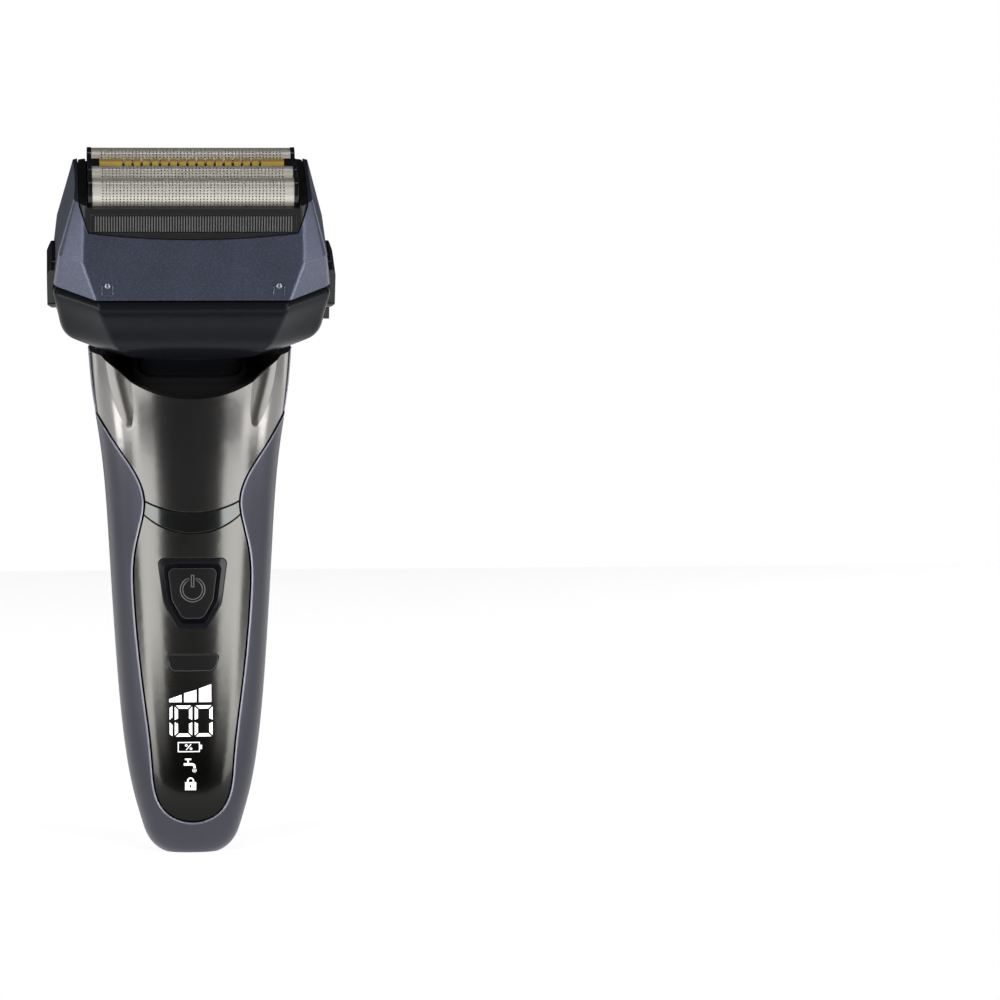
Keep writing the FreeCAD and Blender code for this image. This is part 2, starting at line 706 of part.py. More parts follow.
def boot_form(grow):
    return Part.makeLoft(
        [
            neck_outline(
                neck_half_width + 4.6 + grow, neck_half_depth + 1.6 + grow, 5.5 + grow, boot_top - 4.4,
            ),
            neck_outline(
                neck_half_width + 1.6 + grow, neck_half_depth + 0.2 + grow, 5.0 + grow, boot_top - 2.6,
            ),
            neck_outline(
                neck_half_width - 0.6 + grow, neck_half_depth - 0.4 + grow, 4.6 + grow, boot_top - 1.8,
            ),
            neck_outline(
                neck_half_width - 1.5 + grow, neck_half_depth - 0.9 + grow, 4.2 + grow, boot_top,
            ),
        ],
        True, True,
    )


boot_skirt = lean(
    Part.Face(neck_outline(FAR, FAR, 1.0, boot_top - 4.4 - boot_wall)).extrude(Vector(0, 0, boot_wall))
).common(neck_inside)
boot_well = lean(
    Part.Face(
        neck_outline(neck_half_width + 4.5, neck_half_depth + 1.5, 5.4, -FAR)
    ).extrude(Vector(0, 0, 2 * FAR))
)
boot_funnel = lean(boot_form(0.0).cut(boot_form(-boot_wall))).common(neck_inside)
neck_boot = boot_skirt.cut(boot_well).fuse(boot_funnel).cut(trimmer_room)

# ---------------------------------------------------------------- head base
def head_ring(half_width, half_depth, half_flat, half_side, height, soft):
    """Eight-sided ring with round corners: flat front and back, straight sides, four corner facets."""
    corners = [
        (-half_flat, -half_depth), (half_flat, -half_depth),
        (half_width, -half_side), (half_width, half_side),
        (half_flat, half_depth), (-half_flat, half_depth), (-half_width, half_side), (
            -half_width, -half_side,
        ),
    ]
    crisp = 1.6
    return rounded_outline(corners, [crisp, crisp, soft, soft, crisp, crisp, soft, soft], level(height))


# depth below the seam, and how far width, depth and front flat have come in by there
BASE_FORM = (
    (0.0, 0.9, 0.9, 0.3),
    (0.7, 0.2, 0.2, 0.3),
    (5.5, 0.7, 0.7, 1.6),
    (10.8, 1.9, 2.0, 3.6),
    (15.0, 5.6, 4.2, 6.4),
    (base_height, 10.6, 6.9, 9.6),
)
base_top = deck_h - 0.35
side_flat = 9.6


def base_form(inset, depth_limit=base_height):
    rings = []
    for drop, narrow, shallow, flat in BASE_FORM:
        height = base_top - drop + (inset if drop == base_height else 0.0)
        rings.append(head_ring(
            head_half_width - narrow - inset, head_half_depth - shallow - inset,
            front_half_flat - flat - 0.4 * inset, side_flat - 0.3 * narrow, height, 3.0,
        ))
    return Part.makeLoft(rings, True, False)


neck_hole_half = neck_half_width + 1.6
neck_hole_depth = neck_half_depth + 1.6
neck_hole = Part.Face(neck_outline(neck_hole_half, neck_hole_depth, 5.0, -FAR)).extrude(Vector(0, 0, FAR))
base_bottom = base_top - base_height


def keel(inset):
    """Everything above the base's gently arched underside."""
    return deep_cylinder(keel_radius - inset, -FAR, FAR, 0, base_bottom + keel_radius)


lower_housing_local = base_form(0.0).common(keel(0.0)).cut(base_form(head_wall).common(keel(head_wall)))
lower_housing_local = lower_housing_local.cut(neck_hole)
mouth_ring = head_ring(
    head_half_width - head_wall - 0.9, head_half_depth - head_wall - 0.9,
    front_half_flat - 1.0, side_flat - 0.3,
    base_top - 3.0, 3.0,
)
base_open = Part.Face(mouth_ring).extrude(Vector(0, 0, 8.0))
lower_housing_local = lower_housing_local.cut(base_open)

# release buttons stand in a notch across the seam on each side
release_foot = deck_h - 7.6
release_top = release_foot + release_height
release_out = head_half_width + 1.3
release_in = head_half_width - 2.6
release_notch = box(
    release_in - 0.2, FAR, -release_half_width - 0.25, release_half_width + 0.25,
    release_foot - 0.25, release_top + 0.25,
)
lower_housing_local = lower_housing_local.cut(release_notch).cut(mirrored(release_notch))

# head-lock slider on the right-hand side, below the release button
lock_slide_h = deck_h - 10.4
lock_slide_travel = 2.2
lock_slot = box(20, FAR, -1.0, 1.0 + lock_slide_travel, lock_slide_h - 0.7, lock_slide_h + 0.7)
lower_housing_local = lower_housing_local.cut(lock_slot)
lower_housing = lean(lower_housing_local)
lock_face_x = head_half_width - 0.95
lock_knob = rounded_outline(
    [
        (-2.4, lock_slide_h - 1.9), (2.4, lock_slide_h - 1.9), (2.4, lock_slide_h + 1.9),
        (-2.4, lock_slide_h + 1.9),
    ],
    [0.8] * 4, lambda u, v: Vector(lock_face_x, u, v)
)
lock_knob_solid = Part.Face(lock_knob).extrude(Vector(1.3, 0, 0))
lock_stem = box(lock_face_x - 3.4, lock_face_x + 0.5, -0.8, 0.8, lock_slide_h - 0.5, lock_slide_h + 0.5)
head_lock_slider = lean(lock_knob_solid.fuse(lock_stem).removeSplitter())

# head carrier: plate inside the base with the ears for the cross's front-to-back pins
carrier_bottom = 3.0
carrier_half_width = 20.0
carrier_half_depth = 11.5
carrier_plate = wide_box(
    carrier_half_width, -carrier_half_depth, carrier_half_depth, carrier_bottom, carrier_bottom + 1.5,
)


def deep_ear(y0, y1):
    block = box(-ear_half, ear_half, y0, y1, 0, carrier_bottom + 0.5)
    return block.fuse(deep_cylinder(ear_half, y0, y1, 0, 0))


carrier_ear = deep_ear(ear_x0, ear_x1)
head_carrier_local = carrier_plate.multiFuse([carrier_ear, flipped(carrier_ear)])
head_carrier_local = head_carrier_local.cut(
    deep_cylinder(cross_pin_radius + pin_clearance, -ear_x1 - 1, ear_x1 + 1, 0, 0)
)
neck_ear_room = box(ear_x0 - 1.2, ear_x1 + 1.2, -5.2, 5.2, carrier_bottom - 1, 4.2)
head_carrier_local = head_carrier_local.cut(neck_ear_room).cut(mirrored(neck_ear_room))
head_carrier = lean(head_carrier_local.removeSplitter())

# motor case: sealed tub on the carrier, closed by the deck
case_bottom = carrier_bottom + 1.5
case_top = deck_h + 7.4
case_half_width = 21.5
case_half_depth = 12.2
case_wall = 1.2
motor_case_local = wide_box(case_half_width, -case_half_depth, case_half_depth, case_bottom, case_top)
motor_case_local = motor_case_local.cut(wide_box(
    case_half_width - case_wall, -case_half_depth + case_wall, case_half_depth - case_wall,
    case_bottom + case_wall, case_top,
))
motor_case = lean(motor_case_local)

# deck: seals the base round the motor case, with the step that the foil block sits on
deck_ring = head_ring(
    head_half_width - head_wall - 1.2, head_half_depth - head_wall - 1.2,
    front_half_flat - 1.4, side_flat - 0.5,
    base_top - 2.8, 3.0,
)
deck_plate_local = Part.Face(deck_ring).extrude(Vector(0, 0, deck_wall))
deck_plate_local = deck_plate_local.cut(wide_box(
    case_half_width + fit, -case_half_depth - fit, case_half_depth + fit, 0, FAR
))
release_way = box(
    release_in - release_travel - fit, FAR, -release_half_width - 0.25, release_half_width + 0.25,
    release_foot - 0.25, release_top + 0.25,
)
deck_plate_local = deck_plate_local.cut(release_way).cut(mirrored(release_way))
deck_plate = lean(deck_plate_local)

case_lid_local = wide_box(
    case_half_width, -case_half_depth, case_half_depth, case_top + 0.02, case_top + deck_wall,
)
pin_xs = (-9.0, -3.0, 3.0, 9.0)
pin_radius = 1.0
pin_ys = (-foil_pitch, inner_foil_pitch, slit_comb_pitch, foil_pitch)
pin_slots = []
for x, y in zip(pin_xs, pin_ys):
    pin_slots.append(
        wide_box(pin_radius + cutter_stroke + 0.4, y - pin_radius - 0.3, y + pin_radius + 0.3, 0, FAR)
    )
    pin_slots[-1].translate(Vector(x, 0, 0))
case_lid_local = case_lid_local.cut(Part.makeCompound(pin_slots))
case_lid = lean(case_lid_local)
seal_rings = []
for pin_slot, x, y in zip(pin_slots, pin_xs, pin_ys):
    half = pin_radius + cutter_stroke + 0.4
    ring = box(
        x - half - 0.7, x + half + 0.7, y - pin_radius - 1.0, y + pin_radius + 1.0,
        case_top + deck_wall + 0.02, case_top + deck_wall + 1.1,
    )
    seal_rings.append(ring.cut(pin_slot))
pin_seals = lean(Part.makeCompound(seal_rings))

# linear motor: wound core in the middle, two magnet carriages that run against each other
core_half_width = 9.0
core_half_depth = 4.6
core_bottom = case_bottom + case_wall
core_top = core_bottom + 7.4
stator_local = wide_box(
    core_half_width, -core_half_depth, core_half_depth, core_bottom, core_bottom + 2.2,
)
for leg_x in (-core_half_width + 1.3, 0.0, core_half_width - 1.3):
    stator_local = stator_local.fuse(box(
        leg_x - 1.3, leg_x + 1.3, -core_half_depth, core_half_depth, core_bottom, core_top
    ))
stator_core = lean(stator_local.removeSplitter())
coil_local = box(
    -4.2, 4.2, -core_half_depth - 2.6, core_half_depth + 2.6, core_bottom + 2.4, core_top - 0.6,
)
coil_local = coil_local.cut(box(-1.45, 1.45, -core_half_depth - 0.15, core_half_depth + 0.15, 0, FAR))
coil_edges = [
    e for e in coil_local.Edges if abs(e.tangentAt(e.FirstParameter).z) > 0.9 and e.BoundBox.YLength < 0.1
]
coil_outer = [e for e in coil_edges if abs(abs(e.Vertexes[0].X) - 4.2) < 0.01]
stator_coil = lean(coil_local.makeFillet(1.6, coil_outer))

carriage_bottom = core_top + 0.7
carriage_top = carriage_bottom + 1.6
magnet_height = 0.55
magnet_half = 3.0
magnet_spread = 6.5


def carriage(y0, y1, pins):
    """Magnet carriage with the drive pins that rise through the case lid."""
    plate = wide_box(14.5, y0, y1, carriage_bottom, carriage_top)
    solids = []
    for x, y in pins:
        foot = box(
            x - 1.8, x + 1.8, min(y, y0) - 1.2, max(y, y1) + 1.2, carriage_bottom + 0.2,
            carriage_top - 0.1,
        )
        rod = Part.makeCylinder(
            pin_radius, pin_top - carriage_bottom - 0.3, Vector(x, y, carriage_bottom + 0.3),
        )
        solids += [foot, rod]
    return plate.multiFuse(solids).removeSplitter()


pin_top = case_top + deck_wall + 3.6
def magnets(y0, y1):
    """Two flat magnets under a carriage."""
    top = carriage_bottom - 0.02
    return [
        box(x - magnet_half, x + magnet_half, y0, y1, top - magnet_height, top)
        for x in (-magnet_spread, magnet_spread)
    ]


front_carriage = lean(Part.makeCompound(
    [carriage(-8.6, -0.6, list(zip(pin_xs[:2], pin_ys[:2])))] + magnets(-core_half_depth, -0.8)
))
rear_carriage = lean(Part.makeCompound(
    [carriage(0.6, 8.6, list(zip(pin_xs[2:], pin_ys[2:])))] + magnets(0.8, core_half_depth)
))

# ---------------------------------------------------------------- foil block
CREASE = 9.0                      # the side's bend above the seam
CREASE_IN = 1.1
TOP_IN = 5.1


def width_in(height):
    """How far the cover's side has come in at a height above the seam."""
    if height <= CREASE:
        return CREASE_IN * height / CREASE
    return CREASE_IN + (TOP_IN - CREASE_IN) * (height - CREASE) / (cover_height - CREASE)


def cover_ring(height, inset):
    share = height / cover_height
    half_width = head_half_width - width_in(height)
    half_depth = head_half_depth - front_draft * height
    half_flat = front_half_flat + (half_width - 1.6 - front_half_flat) * share ** 0.8
    half_side = side_flat + (half_depth - 1.9 - side_flat) * share ** 0.8
    return head_ring(
        half_width - inset, half_depth - inset, half_flat - 0.4 * inset, half_side - 0.4 * inset,
        deck_h + height, max(0.8, 4.0 - 2.4 * share),
    )


def cover_form(inset, low=0.35, high=None):
    high = cover_height + 1.0 if high is None else high
    heights = [low, CREASE, high]
    return Part.makeLoft([cover_ring(z, inset) for z in heights], True, True)


crown_radius = 62.0
crown_drop = crown_radius - cover_height


def crown(lower):
    """Everything under the block's arched top."""
    return cross_cylinder(crown_radius - lower, -FAR, FAR, 0, deck_h - crown_drop)


window_low = 15.9
window_sag = 1.5
window_knee = 22.0
window_half_low = 24.3
window_half = 26.5


def window_prism(shrink):
    """The trapezoidal opening through the front and back of the cover, with a sagging lower edge."""
    left_foot = Vector(-window_half_low + shrink, -FAR, deck_h + window_low + shrink)
    right_foot = Vector(window_half_low - shrink, -FAR, deck_h + window_low + shrink)
    sides = Part.makePolygon([
        right_foot,
        Vector(window_half - shrink, -FAR, deck_h + window_knee),
        Vector(window_half - shrink, -FAR, FAR),
        Vector(-window_half + shrink, -FAR, FAR),
        Vector(-window_half + shrink, -FAR, deck_h + window_knee),
        left_foot,
    ])
    sag = Part.Arc(left_foot, Vector(0, -FAR, deck_h + window_low - window_sag + shrink), right_foot).toShape()
    return Part.Face(Part.Wire([sag, *sides.Edges])).extrude(Vector(0, 2 * FAR, 0))


head_cover_local = cover_form(0.0).common(crown(0.0)).cut(cover_form(head_wall)).cut(window_prism(0.0))
head_cover_local = head_cover_local.cut(release_notch).cut(mirrored(release_notch))
rivet_x = 19.9
rivet_h = deck_h + 2.4
rivet_y = -(head_half_depth - front_draft * 2.4)
head_cover = lean(head_cover_local)

# two small latch studs low on the front face
studs = []
for side in (-1, 1):
    clip = box(
        side * rivet_x - 1.25, side * rivet_x + 1.25, rivet_y - 0.12, rivet_y + 0.9, deck_h + 0.4,
        rivet_h + 0.6,
    )
    stud = deep_cylinder(0.75, rivet_y - 0.32, rivet_y + 0.9, side * rivet_x, rivet_h + 0.1)
    studs.append(clip.cut(cover_form(0.0)).fuse(stud.cut(cover_form(0.0))).removeSplitter())
latch_studs = lean(Part.makeCompound(studs))

slot_half_x = foil_half_length + foil_cap + 0.3
slot_half_y = foil_pitch + foil_radius + 0.3
apron_top = 21.6
cassette_face = cover_form(0.35).common(window_prism(0.2)).common(crown(0.25))
cassette_skirt = cover_form(head_wall + 0.2).common(
    wide_box(FAR, -FAR, FAR, deck_h + 7.0, deck_h + window_knee)
)
cassette_local = cassette_face.fuse(cassette_skirt)
cassette_local = cassette_local.cut(wide_box(slot_half_x, -slot_half_y, slot_half_y, 0, FAR))
cassette_local = cassette_local.cut(wide_box(slot_half_x, -FAR, FAR, deck_h + apron_top, FAR))
cassette_local = cassette_local.cut(
    wide_box(slot_half_x + 2.2, -slot_half_y - 0.3, slot_half_y + 0.3, 0, deck_h + 13.0)
)
comb_low = 16.1
comb_high = 20.1
comb_half = 23.5
comb_recess = wide_box(
    comb_half + 0.15, -FAR, -slot_half_y - 0.55, deck_h + comb_low - 0.15, deck_h + comb_high + 0.15,
)
cassette_local = cassette_local.cut(comb_recess).cut(flipped(comb_recess)).removeSplitter()
cassette_frame = lean(cassette_local)

comb_back_y = -slot_half_y - 0.6
comb_strip = cover_form(0.45).common(
    wide_box(comb_half, -FAR, comb_back_y, deck_h + comb_low, deck_h + comb_high)
)
comb_strips = lean(Part.makeCompound([comb_strip, flipped(comb_strip)]))


def arch(radius, y, crest, foot, half_length):
    """Solid with a half-round top and straight walls, along X."""
    centre = crest - radius
    front_foot = Vector(-half_length, y - radius, foot)
    front_spring = Vector(-half_length, y - radius, centre)
    back_spring = Vector(-half_length, y + radius, centre)
    back_foot = Vector(-half_length, y + radius, foot)
    profile = Part.Wire([
        Part.LineSegment(front_foot, front_spring).toShape(),
        Part.Arc(front_spring, Vector(-half_length, y, crest), back_spring).toShape(),
        Part.LineSegment(back_spring, back_foot).toShape(),
        Part.LineSegment(back_foot, front_foot).toShape(),
    ])
    return Part.Face(profile).extrude(Vector(2 * half_length, 0, 0))


foil_foot = deck_h + 18.6
cutter_foot = deck_h + 15.2


def foil(radius, y, crest):
    top = deck_h + crest
    return arch(radius, y, top, foil_foot, foil_half_length).cut(
        arch(radius - foil_wall, y, top - foil_wall, foil_foot, foil_half_length)
    )


def foil_caps(radius, y, crest):
    """Black end plates that a foil is clipped to."""
    top = deck_h + crest + 0.15
    plate = arch(radius + 0.12, y, top, foil_foot, foil_half_length + foil_cap)
    gap = foil_half_length + 0.02
    left = plate.common(box(-FAR, -gap, -FAR, FAR, 0, FAR))
    return Part.makeCompound([left, mirrored(left)])


blade_pitch = 0.95
blade_thickness = 0.3
cutter_half = foil_half_length - cutter_stroke - 1.1


def cutter(radius, y, crest, pin_x):
    """Row of arched blades on a carrier bar with a socket for its drive pin."""
    reach = radius - foil_wall - cutter_gap
    top = deck_h + crest - foil_wall - cutter_gap
    form = arch(reach, y, top, foil_foot + 0.6, cutter_half)
    hollow = arch(reach - 0.75, y, top - 0.75, foil_foot, cutter_half + 1)
    shell_form = form.cut(hollow)
    count = int(2 * (cutter_half - 0.4) / blade_pitch)
    first = -count * blade_pitch / 2
    gaps = []
    for i in range(count):
        x = first + (i + 0.5) * blade_pitch
        half = (blade_pitch - blade_thickness) / 2
        gaps.append(box(x - half, x + half, -FAR, FAR, foil_foot + 2.2, FAR))
    blades = shell_form.cut(Part.makeCompound(gaps))
    bar = wide_box(
        cutter_half - 1.0, y - reach + 0.05, y + reach - 0.05, cutter_foot + 1.6, foil_foot + 1.2,
    )
    socket = box(
        pin_x - 2.2, pin_x + 2.2, y - min(2.0, reach - 0.1), y + min(2.0, reach - 0.1), cutter_foot - 4.0,
        foil_foot,
    )
    bore = Part.makeCylinder(pin_radius + pin_clearance, pin_top + foil_travel + 0.4 - cutter_foot + 6.0,
                             Vector(pin_x, y, cutter_foot - 6.0))
    return blades.multiFuse([bar, socket]).cut(bore).removeSplitter()


def slit_comb_body(half_depth, top, foot, half_length):
    """Square bar with sloping shoulders, along X."""
    y = slit_comb_pitch
    shoulder = 0.7
    outline = [
        Vector(-half_length, y - half_depth, foot), Vector(-half_length, y - half_depth, top - shoulder),
        Vector(-half_length, y - half_depth + shoulder, top), Vector(
            -half_length, y + half_depth - shoulder, top,
        ),
        Vector(-half_length, y + half_depth, top - shoulder), Vector(-half_length, y + half_depth, foot),
        Vector(-half_length, y - half_depth, foot),
    ]
    return Part.Face(Part.makePolygon(outline)).extrude(Vector(2 * half_length, 0, 0))


slit_half = 1.6
slit_half_length = foil_half_length - 1.8
slit_pitch = 2.12
slit_count = 15
slit_top = deck_h + slit_comb_crest
slit_comb_local = slit_comb_body(slit_half, slit_top, foil_foot, slit_half_length).cut(
    slit_comb_body(slit_half - 0.35, slit_top - 0.35, foil_foot, slit_half_length)
)
slit_cuts = []
for i in range(slit_count + 1):
    x = (i - slit_count / 2) * slit_pitch
    slit_cuts.append(box(x - 0.28, x + 0.28, -FAR, FAR, slit_top - 1.5, FAR))
slit_comb = lean(slit_comb_local.cut(Part.makeCompound(slit_cuts)))
slit_blade_local = slit_comb_body(
    slit_half - 0.55, slit_top - 0.5, foil_foot + 0.5, slit_half_length - cutter_stroke - 0.5,
)
blade_cuts = []
for i in range(slit_count + 1):
    x = (i - slit_count / 2) * slit_pitch
    blade_cuts.append(box(x - 0.35, x + 0.35, -FAR, FAR, slit_top - 1.8, FAR))
slit_blade_local = slit_blade_local.cut(Part.makeCompound(blade_cuts))
slit_socket = box(
    pin_xs[2] - 2.2, pin_xs[2] + 2.2, slit_comb_pitch - 1.5, slit_comb_pitch + 1.5,
    cutter_foot - 4.0, foil_foot - foil_travel - 0.4,
)
slit_neck = box(
    pin_xs[2] - 2.0, pin_xs[2] + 2.0, slit_comb_pitch - 1.0, slit_comb_pitch + 1.0, foil_foot - 2,
    foil_foot + 1,
)
slit_bore = Part.makeCylinder(pin_radius + pin_clearance, pin_top + foil_travel + 0.4 - cutter_foot + 6.0,
                              Vector(pin_xs[2], slit_comb_pitch, cutter_foot - 6.0))
slit_blade = lean(slit_blade_local.multiFuse([slit_socket, slit_neck]).cut(slit_bore).removeSplitter())
slit_cap_body = slit_comb_body(slit_half + 0.3, slit_top - 0.1, foil_foot, foil_half_length + foil_cap)
slit_cap_left = slit_cap_body.common(box(-FAR, -slit_half_length - 0.02, -FAR, FAR, 0, FAR))
slit_caps = lean(Part.makeCompound([slit_cap_left, mirrored(slit_cap_left)]))

# ---------------------------------------------------------------- release buttons
def release_button(side_mirror):
    outline = rounded_outline(
        [(-release_half_width, release_foot), (release_half_width, release_foot),
         (release_half_width, release_top), (-release_half_width, release_top)],
        [2.2] * 4, lambda u, v: Vector(release_in, u, v)
    )
    pad = Part.Face(outline).extrude(Vector(release_out - release_in, 0, 0))
    chamfer = Part.makePolygon([
        Vector(release_out - 1.6, -FAR, release_foot - 0.1), Vector(
            release_out + 1, -FAR, release_foot - 0.1,
        ),
        Vector(release_out + 1, -FAR, release_foot + 2.6), Vector(
            release_out - 1.6, -FAR, release_foot - 0.1,
        ),
    ])
    pad = pad.cut(Part.Face(chamfer).extrude(Vector(0, 2 * FAR, 0)))
    upper = Part.makePolygon([
        Vector(release_out - 1.2, -FAR, release_top + 0.1), Vector(
            release_out + 1, -FAR, release_top + 0.1,
        ),
        Vector(release_out + 1, -FAR, release_top - 6.2), Vector(
            release_out - 1.2, -FAR, release_top + 0.1,
        ),
    ])
    pad = pad.cut(Part.Face(upper).extrude(Vector(0, 2 * FAR, 0)))
    return lean(mirrored(pad) if side_mirror else pad)


release_left = release_button(True)
release_right = release_button(False)

# ---------------------------------------------------------------- rear screws
screw_sites = [(0.0, up(0.16)), (-6.0, up(0.475)), (6.0, up(0.475))]
screws = []
for x, z in screw_sites:
    y = back_depth(z)
    hole = deep_cylinder(screw_radius + 0.9, y - 1.15, FAR, x, z).fuse(
        deep_cylinder(screw_radius + 0.05, 0, y, x, z)
    )
    rear_cover = rear_cover.cut(hole)
    head = deep_cylinder(screw_radius + 0.75, y - 1.1, y - 0.35, x, z)
    head = head.cut(deep_cylinder(0.62, y - 0.85, FAR, x, z))
    screws.append(head.fuse(deep_cylinder(screw_radius, y - skin - 2.8, y - 1.0, x, z)).removeSplitter())
rear_screws = Part.makeCompound(screws)

# ---------------------------------------------------------------- write the nodes
save("front_upper_panel", upper_panel)
save("accent_band", accent_band)
save("display_panel", display_panel)
save("button_bezel", button_bezel)
save("power_button", power_button)
save("lock_button", lock_button)
save("grip_shell", grip_shell)
save("rear_cover", rear_cover)
save("rear_screws", rear_screws)
save("inner_frame", inner_frame)
save("base_plug", base_plug)
save("charge_socket", charge_socket)
save("main_board", main_board)
save("led_display", led_display)
save("tact_switches", tact_switches)
save("battery_cell", battery_cell)
save("battery_cradle", battery_cradle)
save("trimmer_pocket", trimmer_pocket)
save("trimmer_pin", trimmer_pin)
save("trimmer_housing", trimmer_housing)
save("trimmer_comb", trimmer_comb)
save("trimmer_blade", trimmer_blade)
save("trimmer_slide", trimmer_slide)
save("neck_bulkhead", neck_bulkhead)
save("neck_bush", neck_bush)
save("neck_boot", neck_boot)
save("neck_post", neck_post)
save("retaining_clip", retaining_clip)
save("float_spring", float_spring)
save("gimbal_cross", gimbal_cross)
save("lower_housing", lower_housing)
save("head_lock_slider", head_lock_slider)
save("head_carrier", head_carrier)
save("motor_case", motor_case)
save("deck_plate", deck_plate)
save("case_lid", case_lid)
save("pin_seals", pin_seals)
save("stator_core", stator_core)
save("stator_coil", stator_coil)
save("front_carriage", front_carriage)
save("rear_carriage", rear_carriage)
save("head_cover", head_cover)
save("latch_studs", latch_studs)
save("cassette_frame", cassette_frame)
save("comb_strips", comb_strips)
save("release_button_left", release_left)
save("release_button_right", release_right)
save("slit_comb", slit_comb)
save("slit_caps", slit_caps)
save("slit_blade", slit_blade)
for name, radius, y, crest, pin_x in (
    ("front", foil_radius, -foil_pitch, foil_crest, pin_xs[0]),
    ("inner", inner_foil_radius, inner_foil_pitch, inner_foil_crest, pin_xs[1]),
    ("rear", foil_radius, foil_pitch, foil_crest, pin_xs[3]),
):
    save("foil_" + name, lean(foil(radius, y, crest)))
    save("foil_caps_" + name, lean(foil_caps(radius, y, crest)))
    save("cutter_" + name, lean(cutter(radius, y, crest, pin_x)))
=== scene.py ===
import json
import math

import bmesh
import bpy
from mathutils import Matrix, Vector

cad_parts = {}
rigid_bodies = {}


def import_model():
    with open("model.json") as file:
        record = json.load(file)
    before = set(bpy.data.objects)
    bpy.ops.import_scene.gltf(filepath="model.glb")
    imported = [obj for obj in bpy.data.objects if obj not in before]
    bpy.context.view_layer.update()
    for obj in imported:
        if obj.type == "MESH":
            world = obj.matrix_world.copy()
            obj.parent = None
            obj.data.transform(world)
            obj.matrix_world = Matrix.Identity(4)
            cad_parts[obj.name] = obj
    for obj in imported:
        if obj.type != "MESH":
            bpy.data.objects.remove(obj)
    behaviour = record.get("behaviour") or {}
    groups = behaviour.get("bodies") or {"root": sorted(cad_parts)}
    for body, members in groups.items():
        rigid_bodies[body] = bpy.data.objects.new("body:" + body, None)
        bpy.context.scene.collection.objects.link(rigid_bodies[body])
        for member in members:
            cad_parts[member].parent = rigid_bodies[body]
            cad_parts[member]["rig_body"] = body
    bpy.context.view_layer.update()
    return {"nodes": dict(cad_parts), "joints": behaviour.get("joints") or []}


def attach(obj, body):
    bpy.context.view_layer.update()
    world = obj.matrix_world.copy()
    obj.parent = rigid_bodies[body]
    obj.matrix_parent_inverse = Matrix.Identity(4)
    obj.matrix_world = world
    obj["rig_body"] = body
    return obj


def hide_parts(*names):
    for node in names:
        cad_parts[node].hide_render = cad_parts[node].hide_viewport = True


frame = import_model()
nodes = frame["nodes"]
joints = {joint["name"]: joint for joint in frame["joints"]}
MM = 0.001

# ---------------------------------------------------------------- camera
# A long lens a good arm's length away, a little above the middle of the shaver and a little to its left.
# It looks past the shaver, which stands in the left third of the view.
eye_distance = 1.2
eye_height_angle = math.radians(3.5)
eye_side_angle = math.radians(-2.0)
aim_height = 0.0833
aim_past = math.radians(3.52)
watched = Vector((0, 0, aim_height))
outward = Vector((
    math.sin(eye_side_angle) * math.cos(eye_height_angle),
    -math.cos(eye_side_angle) * math.cos(eye_height_angle),
    math.sin(eye_height_angle),
))
camera_data = bpy.data.cameras.new("camera")
camera_data.lens = 181.5
camera_data.sensor_width = 36
camera_data.clip_start = 0.05
camera_data.clip_end = 30
camera = bpy.data.objects.new("camera", camera_data)
bpy.context.scene.collection.objects.link(camera)
camera.location = watched + outward * eye_distance
look = Matrix.Rotation(-aim_past, 3, "Z") @ -outward
camera.rotation_euler = look.to_track_quat("-Z", "Y").to_euler()
bpy.context.scene.camera = camera

# ---------------------------------------------------------------- studio
# A white paper table top against white. Soft boxes stand in front of the shaver, beside, behind, above and
# below it, and all else that it could mirror is nearly black.
paper = bpy.data.materials.new("paper")
paper.use_nodes = True
paper_shader = paper.node_tree.nodes["Principled BSDF"]
paper_shader.inputs["Base Color"].default_value = (0.93, 0.93, 0.93, 1)
paper_shader.inputs["Roughness"].default_value = 0.9
paper_shader.inputs["Emission Color"].default_value = (1, 1, 1, 1)
paper_shader.inputs["Emission Strength"].default_value = 0.8

bpy.ops.object.select_all(action="DESELECT")
bpy.ops.mesh.primitive_plane_add(size=1)
table = bpy.context.object
table.name = "paper_table"
table.scale = (2.4, 0.94, 1)
table.location = (0, 0.42, 0)
bpy.ops.object.transform_apply(location=True, rotation=True, scale=True)
table.data.materials.append(paper)


def soft_box(name, place, aim, width, height, power):
    """Rectangular white light that faces a point."""
    data = bpy.data.lights.new(name, "AREA")
    data.shape = "RECTANGLE"
    data.size = width
    data.size_y = height
    data.energy = power
    lamp = bpy.data.objects.new(name, data)
    bpy.context.scene.collection.objects.link(lamp)
    lamp.location = place
    lamp.rotation_euler = (Vector(aim) - Vector(place)).to_track_quat("-Z", "Y").to_euler()


middle = (0, 0, 0.09)
for side in (-1, 1):
    soft_box("front_box", (side * 0.56, -0.82, 0.28), middle, 0.56, 0.95, 3.4)
    soft_box("side_box", (side * 0.95, -0.10, 0.22), middle, 0.24, 0.8, 0.5)
    soft_box("facet_box", (side * 0.85, -0.22, -0.28), (0, 0, 0.14), 0.3, 0.3, 2.0)
    soft_box("back_box", (side * 0.75, 0.75, 0.35), middle, 0.45, 0.9, 1.6)
    soft_box("low_side_box", (side * 0.55, -0.45, -0.28), (0, 0, 0.13), 0.35, 0.35, 1.5)
soft_box("low_front_box", (0, -0.40, -0.30), (0, -0.03, 0.14), 0.9, 0.22, 0.5)
soft_box("top_box", (0, -0.30, 1.0), middle, 0.8, 0.12, 0.5)

